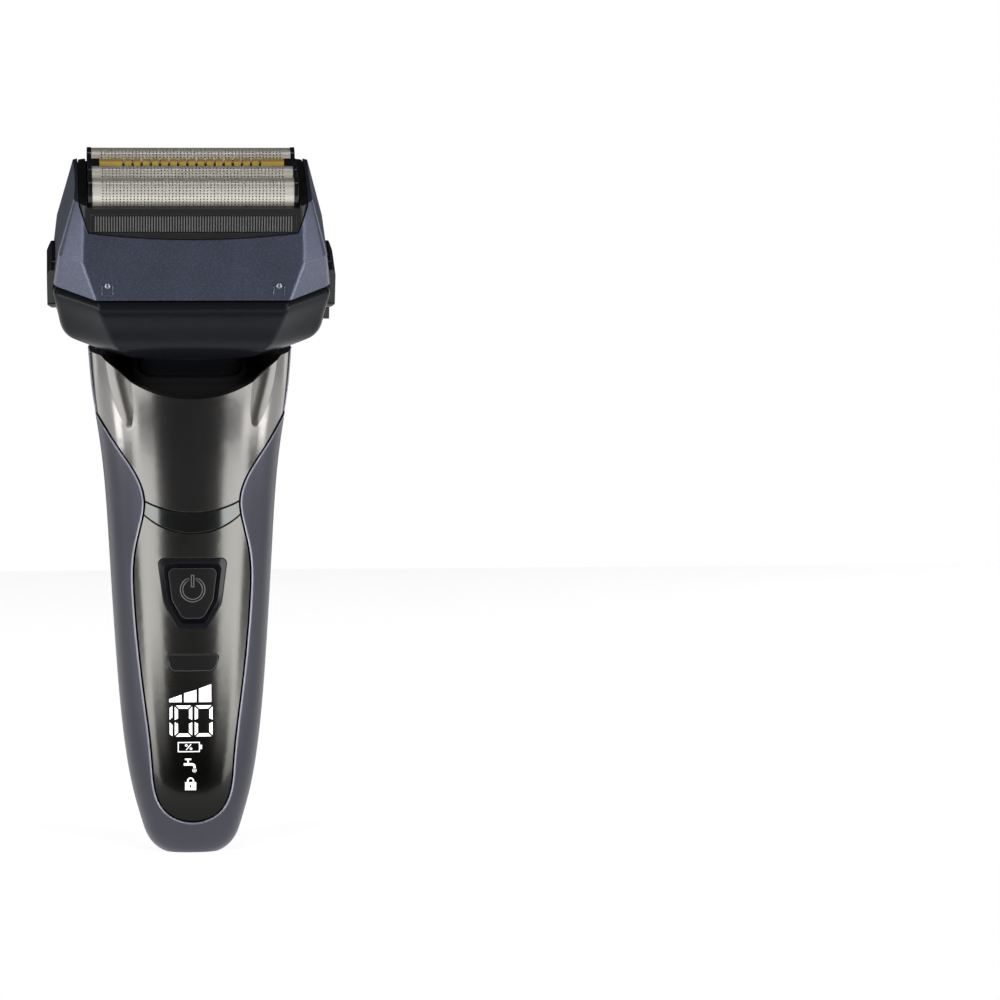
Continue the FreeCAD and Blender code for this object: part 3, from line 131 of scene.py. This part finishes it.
world = bpy.data.worlds.new("studio")
bpy.context.scene.world = world
world.use_nodes = True
sky = world.node_tree
seen = sky.nodes["Background"]
seen.inputs["Color"].default_value = (1, 1, 1, 1)
seen.inputs["Strength"].default_value = 1.0
ambient = sky.nodes.new("ShaderNodeBackground")
ambient.inputs["Color"].default_value = (0.9, 0.93, 1, 1)
ambient.inputs["Strength"].default_value = 0.015
light_path = sky.nodes.new("ShaderNodeLightPath")
chosen = sky.nodes.new("ShaderNodeMixShader")
sky.links.new(light_path.outputs["Is Camera Ray"], chosen.inputs["Fac"])
sky.links.new(ambient.outputs["Background"], chosen.inputs[1])
sky.links.new(seen.outputs["Background"], chosen.inputs[2])
sky.links.new(chosen.outputs["Shader"], sky.nodes["World Output"].inputs["Surface"])
bpy.context.scene.view_settings.view_transform = "Standard"

# ---------------------------------------------------------------- front panels
# Two glossy metallised mouldings and a narrow band between them, clipped over the black frame.
# Their coat is fine aluminium flake under clear lacquer. The display's foot is shaded to black.
def finish(name, colour, metal, rough, grain=0.0, grain_size=0.3, tint=0.06, cloud=9.0, rough_swing=0.05,
           coat=0.0, coat_rough=0.05, spec=0.5, edge=0.15, flake=0.0, fade=None, edge_highlight=None):
    """A maker's finish: cloudy colour and gloss, a fine grain, and edges as round as the mould leaves them.

    In millimetres: grain and grain_size are the grain's height and size, cloud the size of the drift in
    colour and edge the radius on edges. flake brightens single specks of the grain's size, fade names the
    two heights between which the colour comes up out of black, and the last argument is a highlight colour
    painted along the edges.
    """
    material = bpy.data.materials.new(name)
    material.use_nodes = True
    tree = material.node_tree
    shader = tree.nodes["Principled BSDF"]
    shader.inputs["Metallic"].default_value = metal
    shader.inputs["Coat Weight"].default_value = coat
    shader.inputs["Coat Roughness"].default_value = coat_rough
    shader.inputs["Specular IOR Level"].default_value = spec
    place = tree.nodes.new("ShaderNodeTexCoord")
    drift = tree.nodes.new("ShaderNodeTexNoise")
    drift.inputs["Scale"].default_value = 1 / (cloud * MM)
    drift.inputs["Detail"].default_value = 3
    tree.links.new(place.outputs["Object"], drift.inputs["Vector"])
    shade = tree.nodes.new("ShaderNodeMix")
    shade.data_type = "RGBA"
    shade.inputs["A"].default_value = (*[c * (1 - tint) for c in colour], 1)
    shade.inputs["B"].default_value = (*[min(1, c * (1 + tint)) for c in colour], 1)
    tree.links.new(drift.outputs["Fac"], shade.inputs["Factor"])
    colour_out = shade.outputs["Result"]
    if flake:
        specks = tree.nodes.new("ShaderNodeTexVoronoi")
        specks.inputs["Scale"].default_value = 1 / (grain_size * MM)
        tree.links.new(place.outputs["Object"], specks.inputs["Vector"])
        bright = tree.nodes.new("ShaderNodeMapRange")
        bright.inputs["From Min"].default_value = 0.55
        bright.inputs["To Min"].default_value = 1.0
        bright.inputs["To Max"].default_value = 1.0 + flake
        tree.links.new(specks.outputs["Color"], bright.inputs["Value"])
        lit = tree.nodes.new("ShaderNodeVectorMath")
        lit.operation = "SCALE"
        tree.links.new(colour_out, lit.inputs[0])
        tree.links.new(bright.outputs["Result"], lit.inputs["Scale"])
        colour_out = lit.outputs["Vector"]
    if fade:
        split = tree.nodes.new("ShaderNodeSeparateXYZ")
        tree.links.new(place.outputs["Object"], split.inputs["Vector"])
        rise = tree.nodes.new("ShaderNodeMapRange")
        rise.interpolation_type = "SMOOTHSTEP"
        rise.inputs["From Min"].default_value = fade[0] * MM
        rise.inputs["From Max"].default_value = fade[1] * MM
        rise.inputs["To Min"].default_value = 0.03
        tree.links.new(split.outputs["Z"], rise.inputs["Value"])
        dimmed = tree.nodes.new("ShaderNodeVectorMath")
        dimmed.operation = "SCALE"
        tree.links.new(colour_out, dimmed.inputs[0])
        tree.links.new(rise.outputs["Result"], dimmed.inputs["Scale"])
        colour_out = dimmed.outputs["Vector"]
    rounded = tree.nodes.new("ShaderNodeBevel")
    rounded.samples = 4
    rounded.inputs["Radius"].default_value = edge * MM
    tree.links.new(rounded.outputs["Normal"], shader.inputs["Normal"])
    tree.links.new(rounded.outputs["Normal"], shader.inputs["Coat Normal"])
    # Painted highlight: where the rounded normal turns away from the true one, the colour is mixed towards a
    # lighter edge colour.
    if edge_highlight:
        surface = tree.nodes.new("ShaderNodeNewGeometry")
        turned = tree.nodes.new("ShaderNodeVectorMath")
        turned.operation = "DOT_PRODUCT"
        tree.links.new(surface.outputs["Normal"], turned.inputs[0])
        tree.links.new(rounded.outputs["Normal"], turned.inputs[1])
        highlight_starts, highlight_full = 0.985, 0.90
        edge_highlight_mask = tree.nodes.new("ShaderNodeMapRange")
        edge_highlight_mask.inputs["From Min"].default_value = highlight_starts
        edge_highlight_mask.inputs["From Max"].default_value = highlight_full
        tree.links.new(turned.outputs["Value"], edge_highlight_mask.inputs["Value"])
        painted_edge_glint = tree.nodes.new("ShaderNodeMix")
        painted_edge_glint.data_type = "RGBA"
        painted_edge_glint.inputs["B"].default_value = (*edge_highlight, 1)
        tree.links.new(edge_highlight_mask.outputs["Result"], painted_edge_glint.inputs["Factor"])
        tree.links.new(colour_out, painted_edge_glint.inputs["A"])
        colour_out = painted_edge_glint.outputs["Result"]
    tree.links.new(colour_out, shader.inputs["Base Color"])
    gloss = tree.nodes.new("ShaderNodeMapRange")
    gloss.inputs["To Min"].default_value = max(0.02, rough - rough_swing)
    gloss.inputs["To Max"].default_value = rough + rough_swing
    tree.links.new(drift.outputs["Fac"], gloss.inputs["Value"])
    tree.links.new(gloss.outputs["Result"], shader.inputs["Roughness"])
    if grain:
        speck = tree.nodes.new("ShaderNodeTexNoise")
        speck.inputs["Scale"].default_value = 1 / (grain_size * MM)
        speck.inputs["Detail"].default_value = 2
        tree.links.new(place.outputs["Object"], speck.inputs["Vector"])
        bump = tree.nodes.new("ShaderNodeBump")
        bump.inputs["Distance"].default_value = grain * MM
        bump.inputs["Strength"].default_value = 0.6
        tree.links.new(speck.outputs["Fac"], bump.inputs["Height"])
        tree.links.new(rounded.outputs["Normal"], bump.inputs["Normal"])
        tree.links.new(bump.outputs["Normal"], shader.inputs["Normal"])
    return material


def active(piece):
    """Makes a piece the only selected one."""
    bpy.ops.object.select_all(action="DESELECT")
    piece.select_set(True)
    bpy.context.view_layer.objects.active = piece


def apply_modifiers(piece):
    """Turns a piece's modifiers into its mesh, in their order."""
    active(piece)
    for modifier in list(piece.modifiers):
        bpy.ops.object.modifier_apply(modifier=modifier.name)


def settle(piece, body, material, slot, *replaced):
    """Gives a finished piece its finish and its place among the bodies."""
    piece.data.materials.clear()
    piece.data.materials.append(material)
    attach(piece, body)
    if replaced:
        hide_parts(*replaced)


def dressed(finished, *names):
    """Puts a finish on pieces that keep the shape they have."""
    for name in names:
        nodes[name].data.materials.clear()
        nodes[name].data.materials.append(finished)


gunmetal = finish("gunmetal_lacquer", (0.235, 0.228, 0.22), 0.97, 0.2, tint=0.03, rough_swing=0.02, coat=0.3,
                  coat_rough=0.08, edge=0.12)
display_gunmetal = finish("display_lacquer", (0.225, 0.222, 0.205), 0.97, 0.2, tint=0.03, rough_swing=0.02,
                          coat=0.3, coat_rough=0.08, edge=0.12, fade=(8, 58))
band_lacquer = finish("band_lacquer", (0.20, 0.208, 0.20), 0.97, 0.13, tint=0.03, rough_swing=0.02, coat=0.2,
                      edge=0.12)
dressed(gunmetal, "front_upper_panel")
dressed(band_lacquer, "accent_band")
dressed(display_gunmetal, "display_panel")

# ---------------------------------------------------------------- grip and rear cover
# The two-sided grip wraps the panels and closes under them; the rear cover meets it at a side seam.
# Both are sprayed with a satin blue-grey soft-touch lacquer over moulded nylon.
# Painted highlight: a pale lavender line is painted along the edges of the grip and the rear cover.
grip_lacquer = finish("grip_lacquer", (0.060, 0.060, 0.080), 0.6, 0.40, grain=0.004, grain_size=0.18,
                      coat=0.1, coat_rough=0.3, edge=0.8, edge_highlight=(0.75, 0.74, 0.88))
dressed(grip_lacquer, "grip_shell", "rear_cover")

# ---------------------------------------------------------------- inner mouldings and steel parts
# The frames, cradle, bush and cases inside are black nylon with a spark-eroded face. The inner frame shows in
# the grooves between the outer shells. Screws, pins, clip, spring and motor core are ground steel.
black_nylon = finish("black_nylon", (0.007, 0.007, 0.008), 0.0, 0.5, grain=0.006, grain_size=0.25)
steel = finish("ground_steel", (0.56, 0.56, 0.57), 1.0, 0.28, grain=0.002, grain_size=0.12)
dressed(black_nylon, "inner_frame", "battery_cradle", "neck_bulkhead", "neck_bush", "trimmer_pocket",
        "base_plug", "head_carrier", "motor_case", "deck_plate", "case_lid", "front_carriage",
        "rear_carriage")
dressed(steel, "rear_screws", "trimmer_pin", "retaining_clip", "float_spring", "gimbal_cross", "stator_core",
        "charge_socket")

# ---------------------------------------------------------------- buttons
# The power button sits in a shield-shaped moat moulded in gloss black, and the lower button is flush with the
# panel. Both are satin black with a grey highlight painted along their edges, and press on the switches
# behind them.
gloss_black = finish("gloss_black", (0.011, 0.011, 0.014), 0.0, 0.12, rough_swing=0.03, coat=0.4)
button_black = finish("button_black", (0.017, 0.017, 0.018), 0.1, 0.22, rough_swing=0.04, coat=0.3,
                      coat_rough=0.1, edge=0.25, edge_highlight=(0.25, 0.25, 0.25))
dressed(gloss_black, "button_bezel")
dressed(button_black, "power_button", "lock_button")

# ---------------------------------------------------------------- electronics
# A green circuit board with a smoked display lens and two push switches, and one cell in its printed sleeve.
# The motor's coil is enamelled copper wire.
board_green = finish("solder_resist", (0.02, 0.12, 0.05), 0.0, 0.35, tint=0.2, cloud=3, coat=0.3)
cell_wrap = finish("cell_wrap", (0.06, 0.16, 0.36), 0.0, 0.25, coat=0.5)
smoke = finish("smoked_lens", (0.01, 0.01, 0.01), 0.0, 0.1, coat=0.5)
copper = finish("enamelled_copper", (0.62, 0.27, 0.12), 1.0, 0.3, grain=0.05, grain_size=0.5)
dressed(board_green, "main_board")
dressed(cell_wrap, "battery_cell")
dressed(smoke, "led_display")
dressed(black_nylon, "tact_switches")
dressed(copper, "stator_coil")

# ---------------------------------------------------------------- trimmer
# The pop-up trimmer swings out of the rear cover on a pin. Its housing and the slider below it are gloss
# black, and a stamped steel blade runs behind the fixed comb.
dressed(gloss_black, "trimmer_housing", "trimmer_slide")
dressed(steel, "trimmer_comb", "trimmer_blade")

# ---------------------------------------------------------------- neck
# A gloss black post carries the head and rises through a matt rubber boot that fills the handle's mouth.
# The same rubber seals the motor case round the drive pins.
rubber = finish("boot_rubber", (0.004, 0.004, 0.004), 0.0, 0.75, grain=0.01, grain_size=0.4, spec=0.3)
dressed(rubber, "neck_boot", "pin_seals")
dressed(gloss_black, "neck_post")

# ---------------------------------------------------------------- head base
# The faceted lower housing of the head is moulded black with soft edges.
# The lock slider and the two release buttons are let into its sides, in gloss black.
base_black = finish("base_black", (0.009, 0.010, 0.013), 0.1, 0.24, rough_swing=0.03, spec=0.17, edge=0.4)
dressed(base_black, "lower_housing")
dressed(gloss_black, "head_lock_slider", "release_button_left", "release_button_right")

# ---------------------------------------------------------------- foil block
# The block that lifts off: a faceted cover in blue-grey lacquer with metal flake, round a black frame that
# holds the foils and comb strips. Its small pieces are placed in the head's own frame, which leans forward.
cover_lacquer = finish("cover_lacquer", (0.075, 0.084, 0.125), 0.6, 0.34, grain=0.008, grain_size=0.2,
                       tint=0.05, coat=0.2, coat_rough=0.15, edge=0.2, flake=0.7)
dressed(cover_lacquer, "head_cover")
# Painted highlight: the frame's edges are painted a slightly lighter grey.
frame_black = finish("frame_black", (0.010, 0.0095, 0.0095), 0.1, 0.4, grain=0.003, grain_size=0.3, coat=0.1,
                     coat_rough=0.25, edge_highlight=(0.10, 0.10, 0.10))
dressed(frame_black, "cassette_frame", "comb_strips")
pivot = Vector(joints["head_nod"]["pos_m"])
head_up = Vector(joints["neck_float"]["axis"])
head_place = Matrix.Translation(pivot) @ Matrix.Rotation(math.atan2(-head_up.y, head_up.z), 4, "X")
into_head = head_place.inverted()
foil_body = nodes["cassette_frame"]["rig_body"]


def head_points(node):
    """A node's corners in the head's own upright frame."""
    return [into_head @ vertex.co for vertex in nodes[node].data.vertices]


def head_box(node):
    """A node's smallest and largest x, y and height in the head's own upright frame."""
    points = head_points(node)
    return [min(p[i] for p in points) for i in range(3)], [max(p[i] for p in points) for i in range(3)]


# ---------------------------------------------------------------- comb ribs
# Fine upright ribs of the two comb strips that lead hairs under the outer foils.
# They are moulded on the strips, follow their lean and stop short of their edges.
# Their light grey against the black moulding is a painted highlight on the lit ribs.
rib_painted_highlight = finish("rib_painted_highlight", (0.22, 0.22, 0.225), 0.5, 0.35, tint=0.25, cloud=1.2, edge=0.03)
near_edge = 0.1 * MM
strip_points = head_points("comb_strips")
strip_low = min(point.z for point in strip_points)
strip_high = max(point.z for point in strip_points)
strip_half = max(point.x for point in strip_points)
low_y = min(point.y for point in strip_points if point.z < strip_low + near_edge)
high_y = min(point.y for point in strip_points if point.z > strip_high - near_edge)
rib_pitch = 0.62 * MM
rib_width = 0.26 * MM
rib_depth = 0.25 * MM
rib_sunk = 0.05 * MM
rib_margin = 0.25 * MM
strip_margin = 0.5 * MM
rib_count = int((2 * strip_half - 2 * strip_margin) / rib_pitch)
for name, turn in (("comb_ribs_front", 1), ("comb_ribs_rear", -1)):
    bpy.ops.object.select_all(action="DESELECT")
    bpy.ops.mesh.primitive_cube_add(size=1)
    ribs = bpy.context.object
    ribs.name = name
    ribs.scale = (rib_width, rib_depth, strip_high - strip_low - 2 * rib_margin)
    ribs.location = (-rib_pitch * (rib_count - 1) / 2, 0, (strip_high + strip_low) / 2)
    bpy.ops.object.transform_apply(location=True, rotation=True, scale=True)
    repeat = ribs.modifiers.new("repeat", "ARRAY")
    repeat.count = rib_count
    repeat.use_relative_offset = False
    repeat.use_constant_offset = True
    repeat.constant_offset_displace = (rib_pitch, 0, 0)
    apply_modifiers(ribs)
    for vertex in ribs.data.vertices:
        x, y, height = vertex.co
        share = (height - strip_low) / (strip_high - strip_low)
        y += low_y + (high_y - low_y) * share - rib_depth / 2 + rib_sunk
        vertex.co = head_place @ Vector((turn * x, turn * y, height))
    settle(ribs, foil_body, rib_painted_highlight, "black_plastic")

# ---------------------------------------------------------------- latch marks
# Two snap tongues low on the cover's front, cut free by fine slots whose edges carry painted bright
# highlights.
# A round stud at the top of each tongue snaps into the head's base.
stud_low, stud_high = head_box("latch_studs")
latch_half = 1.25 * MM
latch_x = stud_high[0] - latch_half
latch_foot = stud_low[2]
latch_height = 2.6 * MM
slot_width = 0.2 * MM
slot_depth = 0.3 * MM
slot_proud = 0.08 * MM
slot_height = latch_height - 0.5 * MM
stud_radius = 0.7 * MM
stud_flatness = 0.45
stud_sunk = 0.05 * MM
stud_height = latch_height - 0.5 * MM
face_y = stud_low[1] + 0.3 * MM
face_draft = 0.2
# Painted highlight: the slot edges and the studs are a light grey-blue metal, much lighter than the cover's
# lacquer.
latch_painted_highlight = finish("latch_painted_highlight", (0.30, 0.32, 0.40), 0.8, 0.25, edge=0.05)
for name, side in (("latch_left", -1), ("latch_right", 1)):
    parts = []
    for offset in (-latch_half, latch_half):
        bpy.ops.mesh.primitive_cube_add(size=1)
        slot_highlight_strip = bpy.context.object
        slot_highlight_strip.scale = (slot_width, slot_depth, slot_height)
        slot_y = slot_depth / 2 - slot_proud
        slot_highlight_strip.location = (side * latch_x + offset, slot_y, latch_foot + slot_height / 2)
        bpy.ops.object.transform_apply(location=True, rotation=True, scale=True)
        parts.append(slot_highlight_strip)
    bpy.ops.mesh.primitive_uv_sphere_add(segments=24, ring_count=12, radius=stud_radius)
    stud = bpy.context.object
    stud.scale = (1, stud_flatness, 1)
    stud.location = (side * latch_x, stud_sunk, latch_foot + stud_height)
    bpy.ops.object.transform_apply(location=True, rotation=True, scale=True)
    bpy.ops.object.shade_smooth()
    parts.append(stud)
    bpy.ops.object.select_all(action="DESELECT")
    for part in parts:
        part.select_set(True)
    bpy.context.view_layer.objects.active = stud
    bpy.ops.object.join()
    stud.name = name
    for vertex in stud.data.vertices:
        x, y, height = vertex.co
        y += face_y + face_draft * (height - latch_foot - latch_height / 2)
        vertex.co = head_place @ Vector((x, y, height))
    settle(stud, foil_body, latch_painted_highlight, "cover_blue", "latch_studs")

# ---------------------------------------------------------------- cutters and slit comb
# Dark hardened cutters run under the foils, and gloss black caps close each foil's ends.
# The comb between the foils is coated in gold-coloured nitride.
cutter_steel = finish("cutter_steel", (0.022, 0.021, 0.020), 1.0, 0.5)
gold = finish("gold_nitride", (1.0, 0.66, 0.16), 0.35, 0.3, coat=0.3)
dressed(gloss_black, "foil_caps_front", "foil_caps_inner", "foil_caps_rear", "slit_caps")
dressed(cutter_steel, "cutter_front", "cutter_inner", "cutter_rear", "slit_blade")
dressed(gold, "slit_comb")

# ---------------------------------------------------------------- foils
# Nickel foils, electroformed with a grid of round holes and plain ends.
# Each is sprung into an arch over its cutter and held by the caps.
foil_steel = finish("foil_steel", (1.0, 0.93, 0.83), 0.6, 0.36, grain=0.001, edge=0.02)
hole_radius = 0.29 * MM
hole_columns = 53
row_pitch = 0.70 * MM
plain_end = 2.0 * MM
foil_thickness = 0.08 * MM
weld = 0.01 * MM


def perforated_foil(node):
    """A flat sheet with rows of holes and plain ends, bent over a foil's two walls and round crest."""
    low, high = head_box(node)
    length = high[0] - low[0]
    radius = (high[1] - low[1]) / 2
    centre_y = (high[1] + low[1]) / 2
    spring_line = high[2] - radius
    wall = spring_line - low[2]
    girth = 2 * wall + math.pi * radius
    pitch = (length - 2 * plain_end) / hole_columns
    hole_rows = round(girth / row_pitch)
    rise = girth / hole_rows

    bpy.ops.object.select_all(action="DESELECT")
    bpy.ops.mesh.primitive_plane_add(size=1)
    sheet = bpy.context.object
    sheet.name = node + "_sheet"
    sheet.scale = (pitch, rise, 1)
    sheet.location = (low[0] + plain_end + pitch / 2, rise / 2, 0)
    bpy.ops.object.transform_apply(location=True, rotation=True, scale=True)
    bpy.ops.object.mode_set(mode="EDIT")
    bpy.ops.mesh.subdivide(number_cuts=1)
    bpy.ops.mesh.select_all(action="DESELECT")
    bpy.ops.object.mode_set(mode="OBJECT")
    middle_of_cell = Vector((low[0] + plain_end + pitch / 2, rise / 2, 0))
    for vertex in sheet.data.vertices:
        vertex.select = (vertex.co - middle_of_cell).length < pitch / 10
    bpy.ops.object.mode_set(mode="EDIT")
    bpy.ops.mesh.select_mode(type="VERT")
    bpy.ops.mesh.bevel(offset=hole_radius, segments=2, affect="VERTICES", profile=0.5)
    bpy.ops.mesh.delete(type="ONLY_FACE")
    bpy.ops.object.mode_set(mode="OBJECT")
    for count, step in ((hole_columns, (pitch, 0, 0)), (hole_rows, (0, rise, 0))):
        repeat = sheet.modifiers.new("repeat", "ARRAY")
        repeat.count = count
        repeat.use_relative_offset = False
        repeat.use_constant_offset = True
        repeat.constant_offset_displace = step
        repeat.use_merge_vertices = True
        repeat.merge_threshold = weld
    apply_modifiers(sheet)
    parts = [sheet]
    for left in (low[0], high[0] - plain_end):
        bpy.ops.mesh.primitive_grid_add(x_subdivisions=1, y_subdivisions=2 * hole_rows, size=1)
        band = bpy.context.object
        band.scale = (plain_end, girth, 1)
        band.location = (left + plain_end / 2, girth / 2, 0)
        bpy.ops.object.transform_apply(location=True, rotation=True, scale=True)
        parts.append(band)
    bpy.ops.object.select_all(action="DESELECT")
    for part in parts:
        part.select_set(True)
    bpy.context.view_layer.objects.active = sheet
    bpy.ops.object.join()
    bpy.ops.object.mode_set(mode="EDIT")
    bpy.ops.mesh.select_all(action="SELECT")
    bpy.ops.mesh.remove_doubles(threshold=weld)
    bpy.ops.object.mode_set(mode="OBJECT")
    thick = sheet.modifiers.new("thickness", "SOLIDIFY")
    thick.thickness = foil_thickness
    thick.offset = -1
    apply_modifiers(sheet)
    for vertex in sheet.data.vertices:
        x, run, depth = vertex.co
        reach = radius + depth
        if run < wall:
            y, height = centre_y - reach, low[2] + run
        elif run > girth - wall:
            y, height = centre_y + reach, low[2] + girth - run
        else:
            turn = (run - wall) / radius
            y, height = centre_y - reach * math.cos(turn), spring_line + reach * math.sin(turn)
        vertex.co = head_place @ Vector((x, y, height))
    active(sheet)
    bpy.ops.object.shade_smooth_by_angle(angle=math.radians(40))
    settle(sheet, nodes[node]["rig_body"], foil_steel, "foil_steel", node)


for node in ("foil_front", "foil_inner", "foil_rear"):
    perforated_foil(node)

# ---------------------------------------------------------------- display
# White symbols of the display, lit through the dark foot of the panel: three rising bars, a full count, a
# battery with a per cent sign, a dripping tap and a padlock. Each is a thin skin that follows the panel.
glow = bpy.data.materials.new("display_glow")
glow.use_nodes = True
glow_shader = glow.node_tree.nodes["Principled BSDF"]
glow_shader.inputs["Base Color"].default_value = (0.9, 0.9, 0.9, 1)
glow_shader.inputs["Emission Strength"].default_value = 1.0
glow_place = glow.node_tree.nodes.new("ShaderNodeTexCoord")
glow_drift = glow.node_tree.nodes.new("ShaderNodeTexNoise")
glow_drift.inputs["Scale"].default_value = 600
glow_level = glow.node_tree.nodes.new("ShaderNodeMapRange")
glow_level.inputs["To Min"].default_value = 0.9
glow.node_tree.links.new(glow_place.outputs["Object"], glow_drift.inputs["Vector"])
glow.node_tree.links.new(glow_drift.outputs["Fac"], glow_level.inputs["Value"])
glow.node_tree.links.new(glow_level.outputs["Result"], glow_shader.inputs["Emission Color"])
symbol_lift = 0.02 * MM
symbol_skin = 0.03 * MM
facet = 0.6
display_rise = 1.15


def symbol(name, outlines, panel, body="handle", material=glow, slot="display_smoke", rise=display_rise):
    """Closed thin skin in the shape of some flat outlines (x, z in millimetres), laid on a panel."""
    skin = bpy.data.meshes.new(name)
    piece = bpy.data.objects.new(name, skin)
    bpy.context.scene.collection.objects.link(piece)
    shape = bmesh.new()
    for outline in outlines:
        shape.faces.new([shape.verts.new((x * MM, 0, (z + rise) * MM)) for x, z in outline])
    bmesh.ops.recalc_face_normals(shape, faces=shape.faces)
    for face in shape.faces:
        if face.normal.y > 0:
            face.normal_flip()
    low = min(x for outline in outlines for x, z in outline)
    high = max(x for outline in outlines for x, z in outline)
    cut = math.ceil(low / facet) * facet
    while cut < high:
        everything = shape.verts[:] + shape.edges[:] + shape.faces[:]
        line = (cut * MM, 0, 0)
        bmesh.ops.bisect_plane(shape, geom=everything, plane_co=line, plane_no=(1, 0, 0), dist=1e-7)
        cut += facet
    for vertex in shape.verts:
        where = panel.ray_cast((vertex.co.x, -0.1, vertex.co.z), (0, 1, 0))[1]
        vertex.co.y = where.y - symbol_lift
    shape.to_mesh(skin)
    shape.free()
    thick = piece.modifiers.new("thickness", "SOLIDIFY")
    thick.thickness = symbol_skin
    thick.offset = 1
    apply_modifiers(piece)
    settle(piece, body, material, slot)


def bar(x0, x1, z0, z1):
    """An upright rectangle."""
    return [(x0, z0), (x1, z0), (x1, z1), (x0, z1)]


def frame_outline(x0, x1, z0, z1, line):
    """The four bars of a hollow rectangle."""
    return [bar(x0, x1, z1 - line, z1), bar(x0, x1, z0, z0 + line),
            bar(x0, x0 + line, z0 + line, z1 - line), bar(x1 - line, x1, z0 + line, z1 - line)]


def digit_zero(x0, x1, z0, z1, stroke, gap):
    """Six lit strokes of a seven-stroke digit, mitred where they meet and a gap apart."""
    waist = (z0 + z1) / 2
    apart = gap / 2
    mitre = apart + stroke
    strokes = []
    for outer, inner in ((z1, z1 - stroke), (z0, z0 + stroke)):
        strokes.append([(x0 + apart, outer), (x1 - apart, outer), (x1 - mitre, inner), (x0 + mitre, inner)])
    for outer, inner in ((x0, x0 + stroke), (x1, x1 - stroke)):
        for end, way in ((z1, -1), (z0, 1)):
            strokes.append([(outer, end + way * apart), (inner, end + way * mitre),
                            (inner, waist - way * (apart + stroke / 2)), (outer, waist - way * apart)])
    return strokes


def ring_arc(x, z, outer, inner, start, end, steps):
    """Strokes of a circular band between two angles in degrees."""
    angles = [math.radians(start + (end - start) * i / steps) for i in range(steps + 1)]
    return [[(x + radius * math.cos(angle), z + radius * math.sin(angle))
             for radius, angle in ((outer, a), (outer, b), (inner, b), (inner, a))]
            for a, b in zip(angles, angles[1:])]


button = nodes["power_button"]
button_heights = [vertex.co.z for vertex in button.data.vertices]
icon_x = 0.0
icon_z = (max(button_heights) + min(button_heights)) / 2 / MM + 0.9
# Painted highlight: the power mark's two thin grey rings and grey bar outline follow the edges of the
# button's icon.
icon_painted_highlight = finish("icon_painted_highlight", (0.30, 0.30, 0.30), 0.3, 0.35, edge=0.02)
symbol("power_mark", [
    *ring_arc(icon_x, icon_z, 2.98, 2.86, 118, 422, 36),
    *ring_arc(icon_x, icon_z, 2.34, 2.22, 122, 418, 32),
    bar(-0.38, -0.26, icon_z + 0.6, icon_z + 3.4), bar(0.26, 0.38, icon_z + 0.6, icon_z + 3.4),
    bar(-0.26, 0.26, icon_z + 3.28, icon_z + 3.4), bar(-0.26, 0.26, icon_z + 0.6, icon_z + 0.72),
], button, "power_button", icon_painted_highlight, "black_plastic", 0)
panel = nodes["display_panel"]
symbol("level_bars", [
    [(-5.6, 35.3), (-2.7, 35.3), (-2.7, 37.1), (-5.6, 36.0)],
    [(-2.1, 35.3), (0.8, 35.3), (0.8, 38.2), (-2.1, 37.4)],
    [(1.4, 35.3), (4.3, 35.3), (4.3, 39.5), (1.4, 38.5)],
], panel)
symbol("count_digits", [
    [(-5.5, 31.1), (-4.85, 31.7), (-4.85, 34.4), (-5.5, 33.9)],
    [(-5.5, 30.5), (-4.85, 29.9), (-4.85, 27.2), (-5.5, 27.7)],
    *digit_zero(-4.3, -0.2, 27.1, 34.5, 0.75, 0.55),
    *digit_zero(0.4, 4.6, 27.1, 34.5, 0.75, 0.55),
], panel)
symbol("battery_mark", [
    *frame_outline(-3.6, 1.6, 23.4, 25.8, 0.22), bar(1.6, 2.1, 24.1, 25.1),
    [(-1.75, 23.9), (-1.5, 23.9), (-0.35, 25.3), (-0.6, 25.3)],
    *ring_arc(-1.6, 25.0, 0.32, 0.16, 0, 360, 8), *ring_arc(-0.5, 24.2, 0.32, 0.16, 0, 360, 8),
], panel)
symbol("tap_mark", [
    bar(-2.2, -0.3, 20.2, 20.75), bar(-1.35, -1.0, 20.75, 21.5), bar(-1.9, -0.45, 21.5, 21.85),
    *ring_arc(-0.3, 19.85, 0.9, 0.35, 0, 90, 5), bar(0.05, 0.6, 19.5, 19.85),
    bar(-0.15, -0.03, 18.7, 19.3), bar(0.12, 0.24, 18.5, 19.3), bar(0.39, 0.51, 18.5, 19.3),
    bar(0.66, 0.78, 18.7, 19.3),
], panel)
symbol("padlock_mark", [
    [(-1.9, 14.3), (0.7, 14.3), (0.7, 16.2), (-0.45, 16.2), (-0.45, 15.5), (-0.35, 14.9), (-0.85, 14.9),
     (-0.75, 15.5), (-0.75, 16.2), (-1.9, 16.2)],
    bar(-0.75, -0.45, 15.6, 16.2),
    *ring_arc(-0.6, 16.5, 0.85, 0.5, 0, 180, 8), bar(-1.45, -1.1, 16.2, 16.5), bar(-0.1, 0.25, 16.2, 16.5),
], panel)
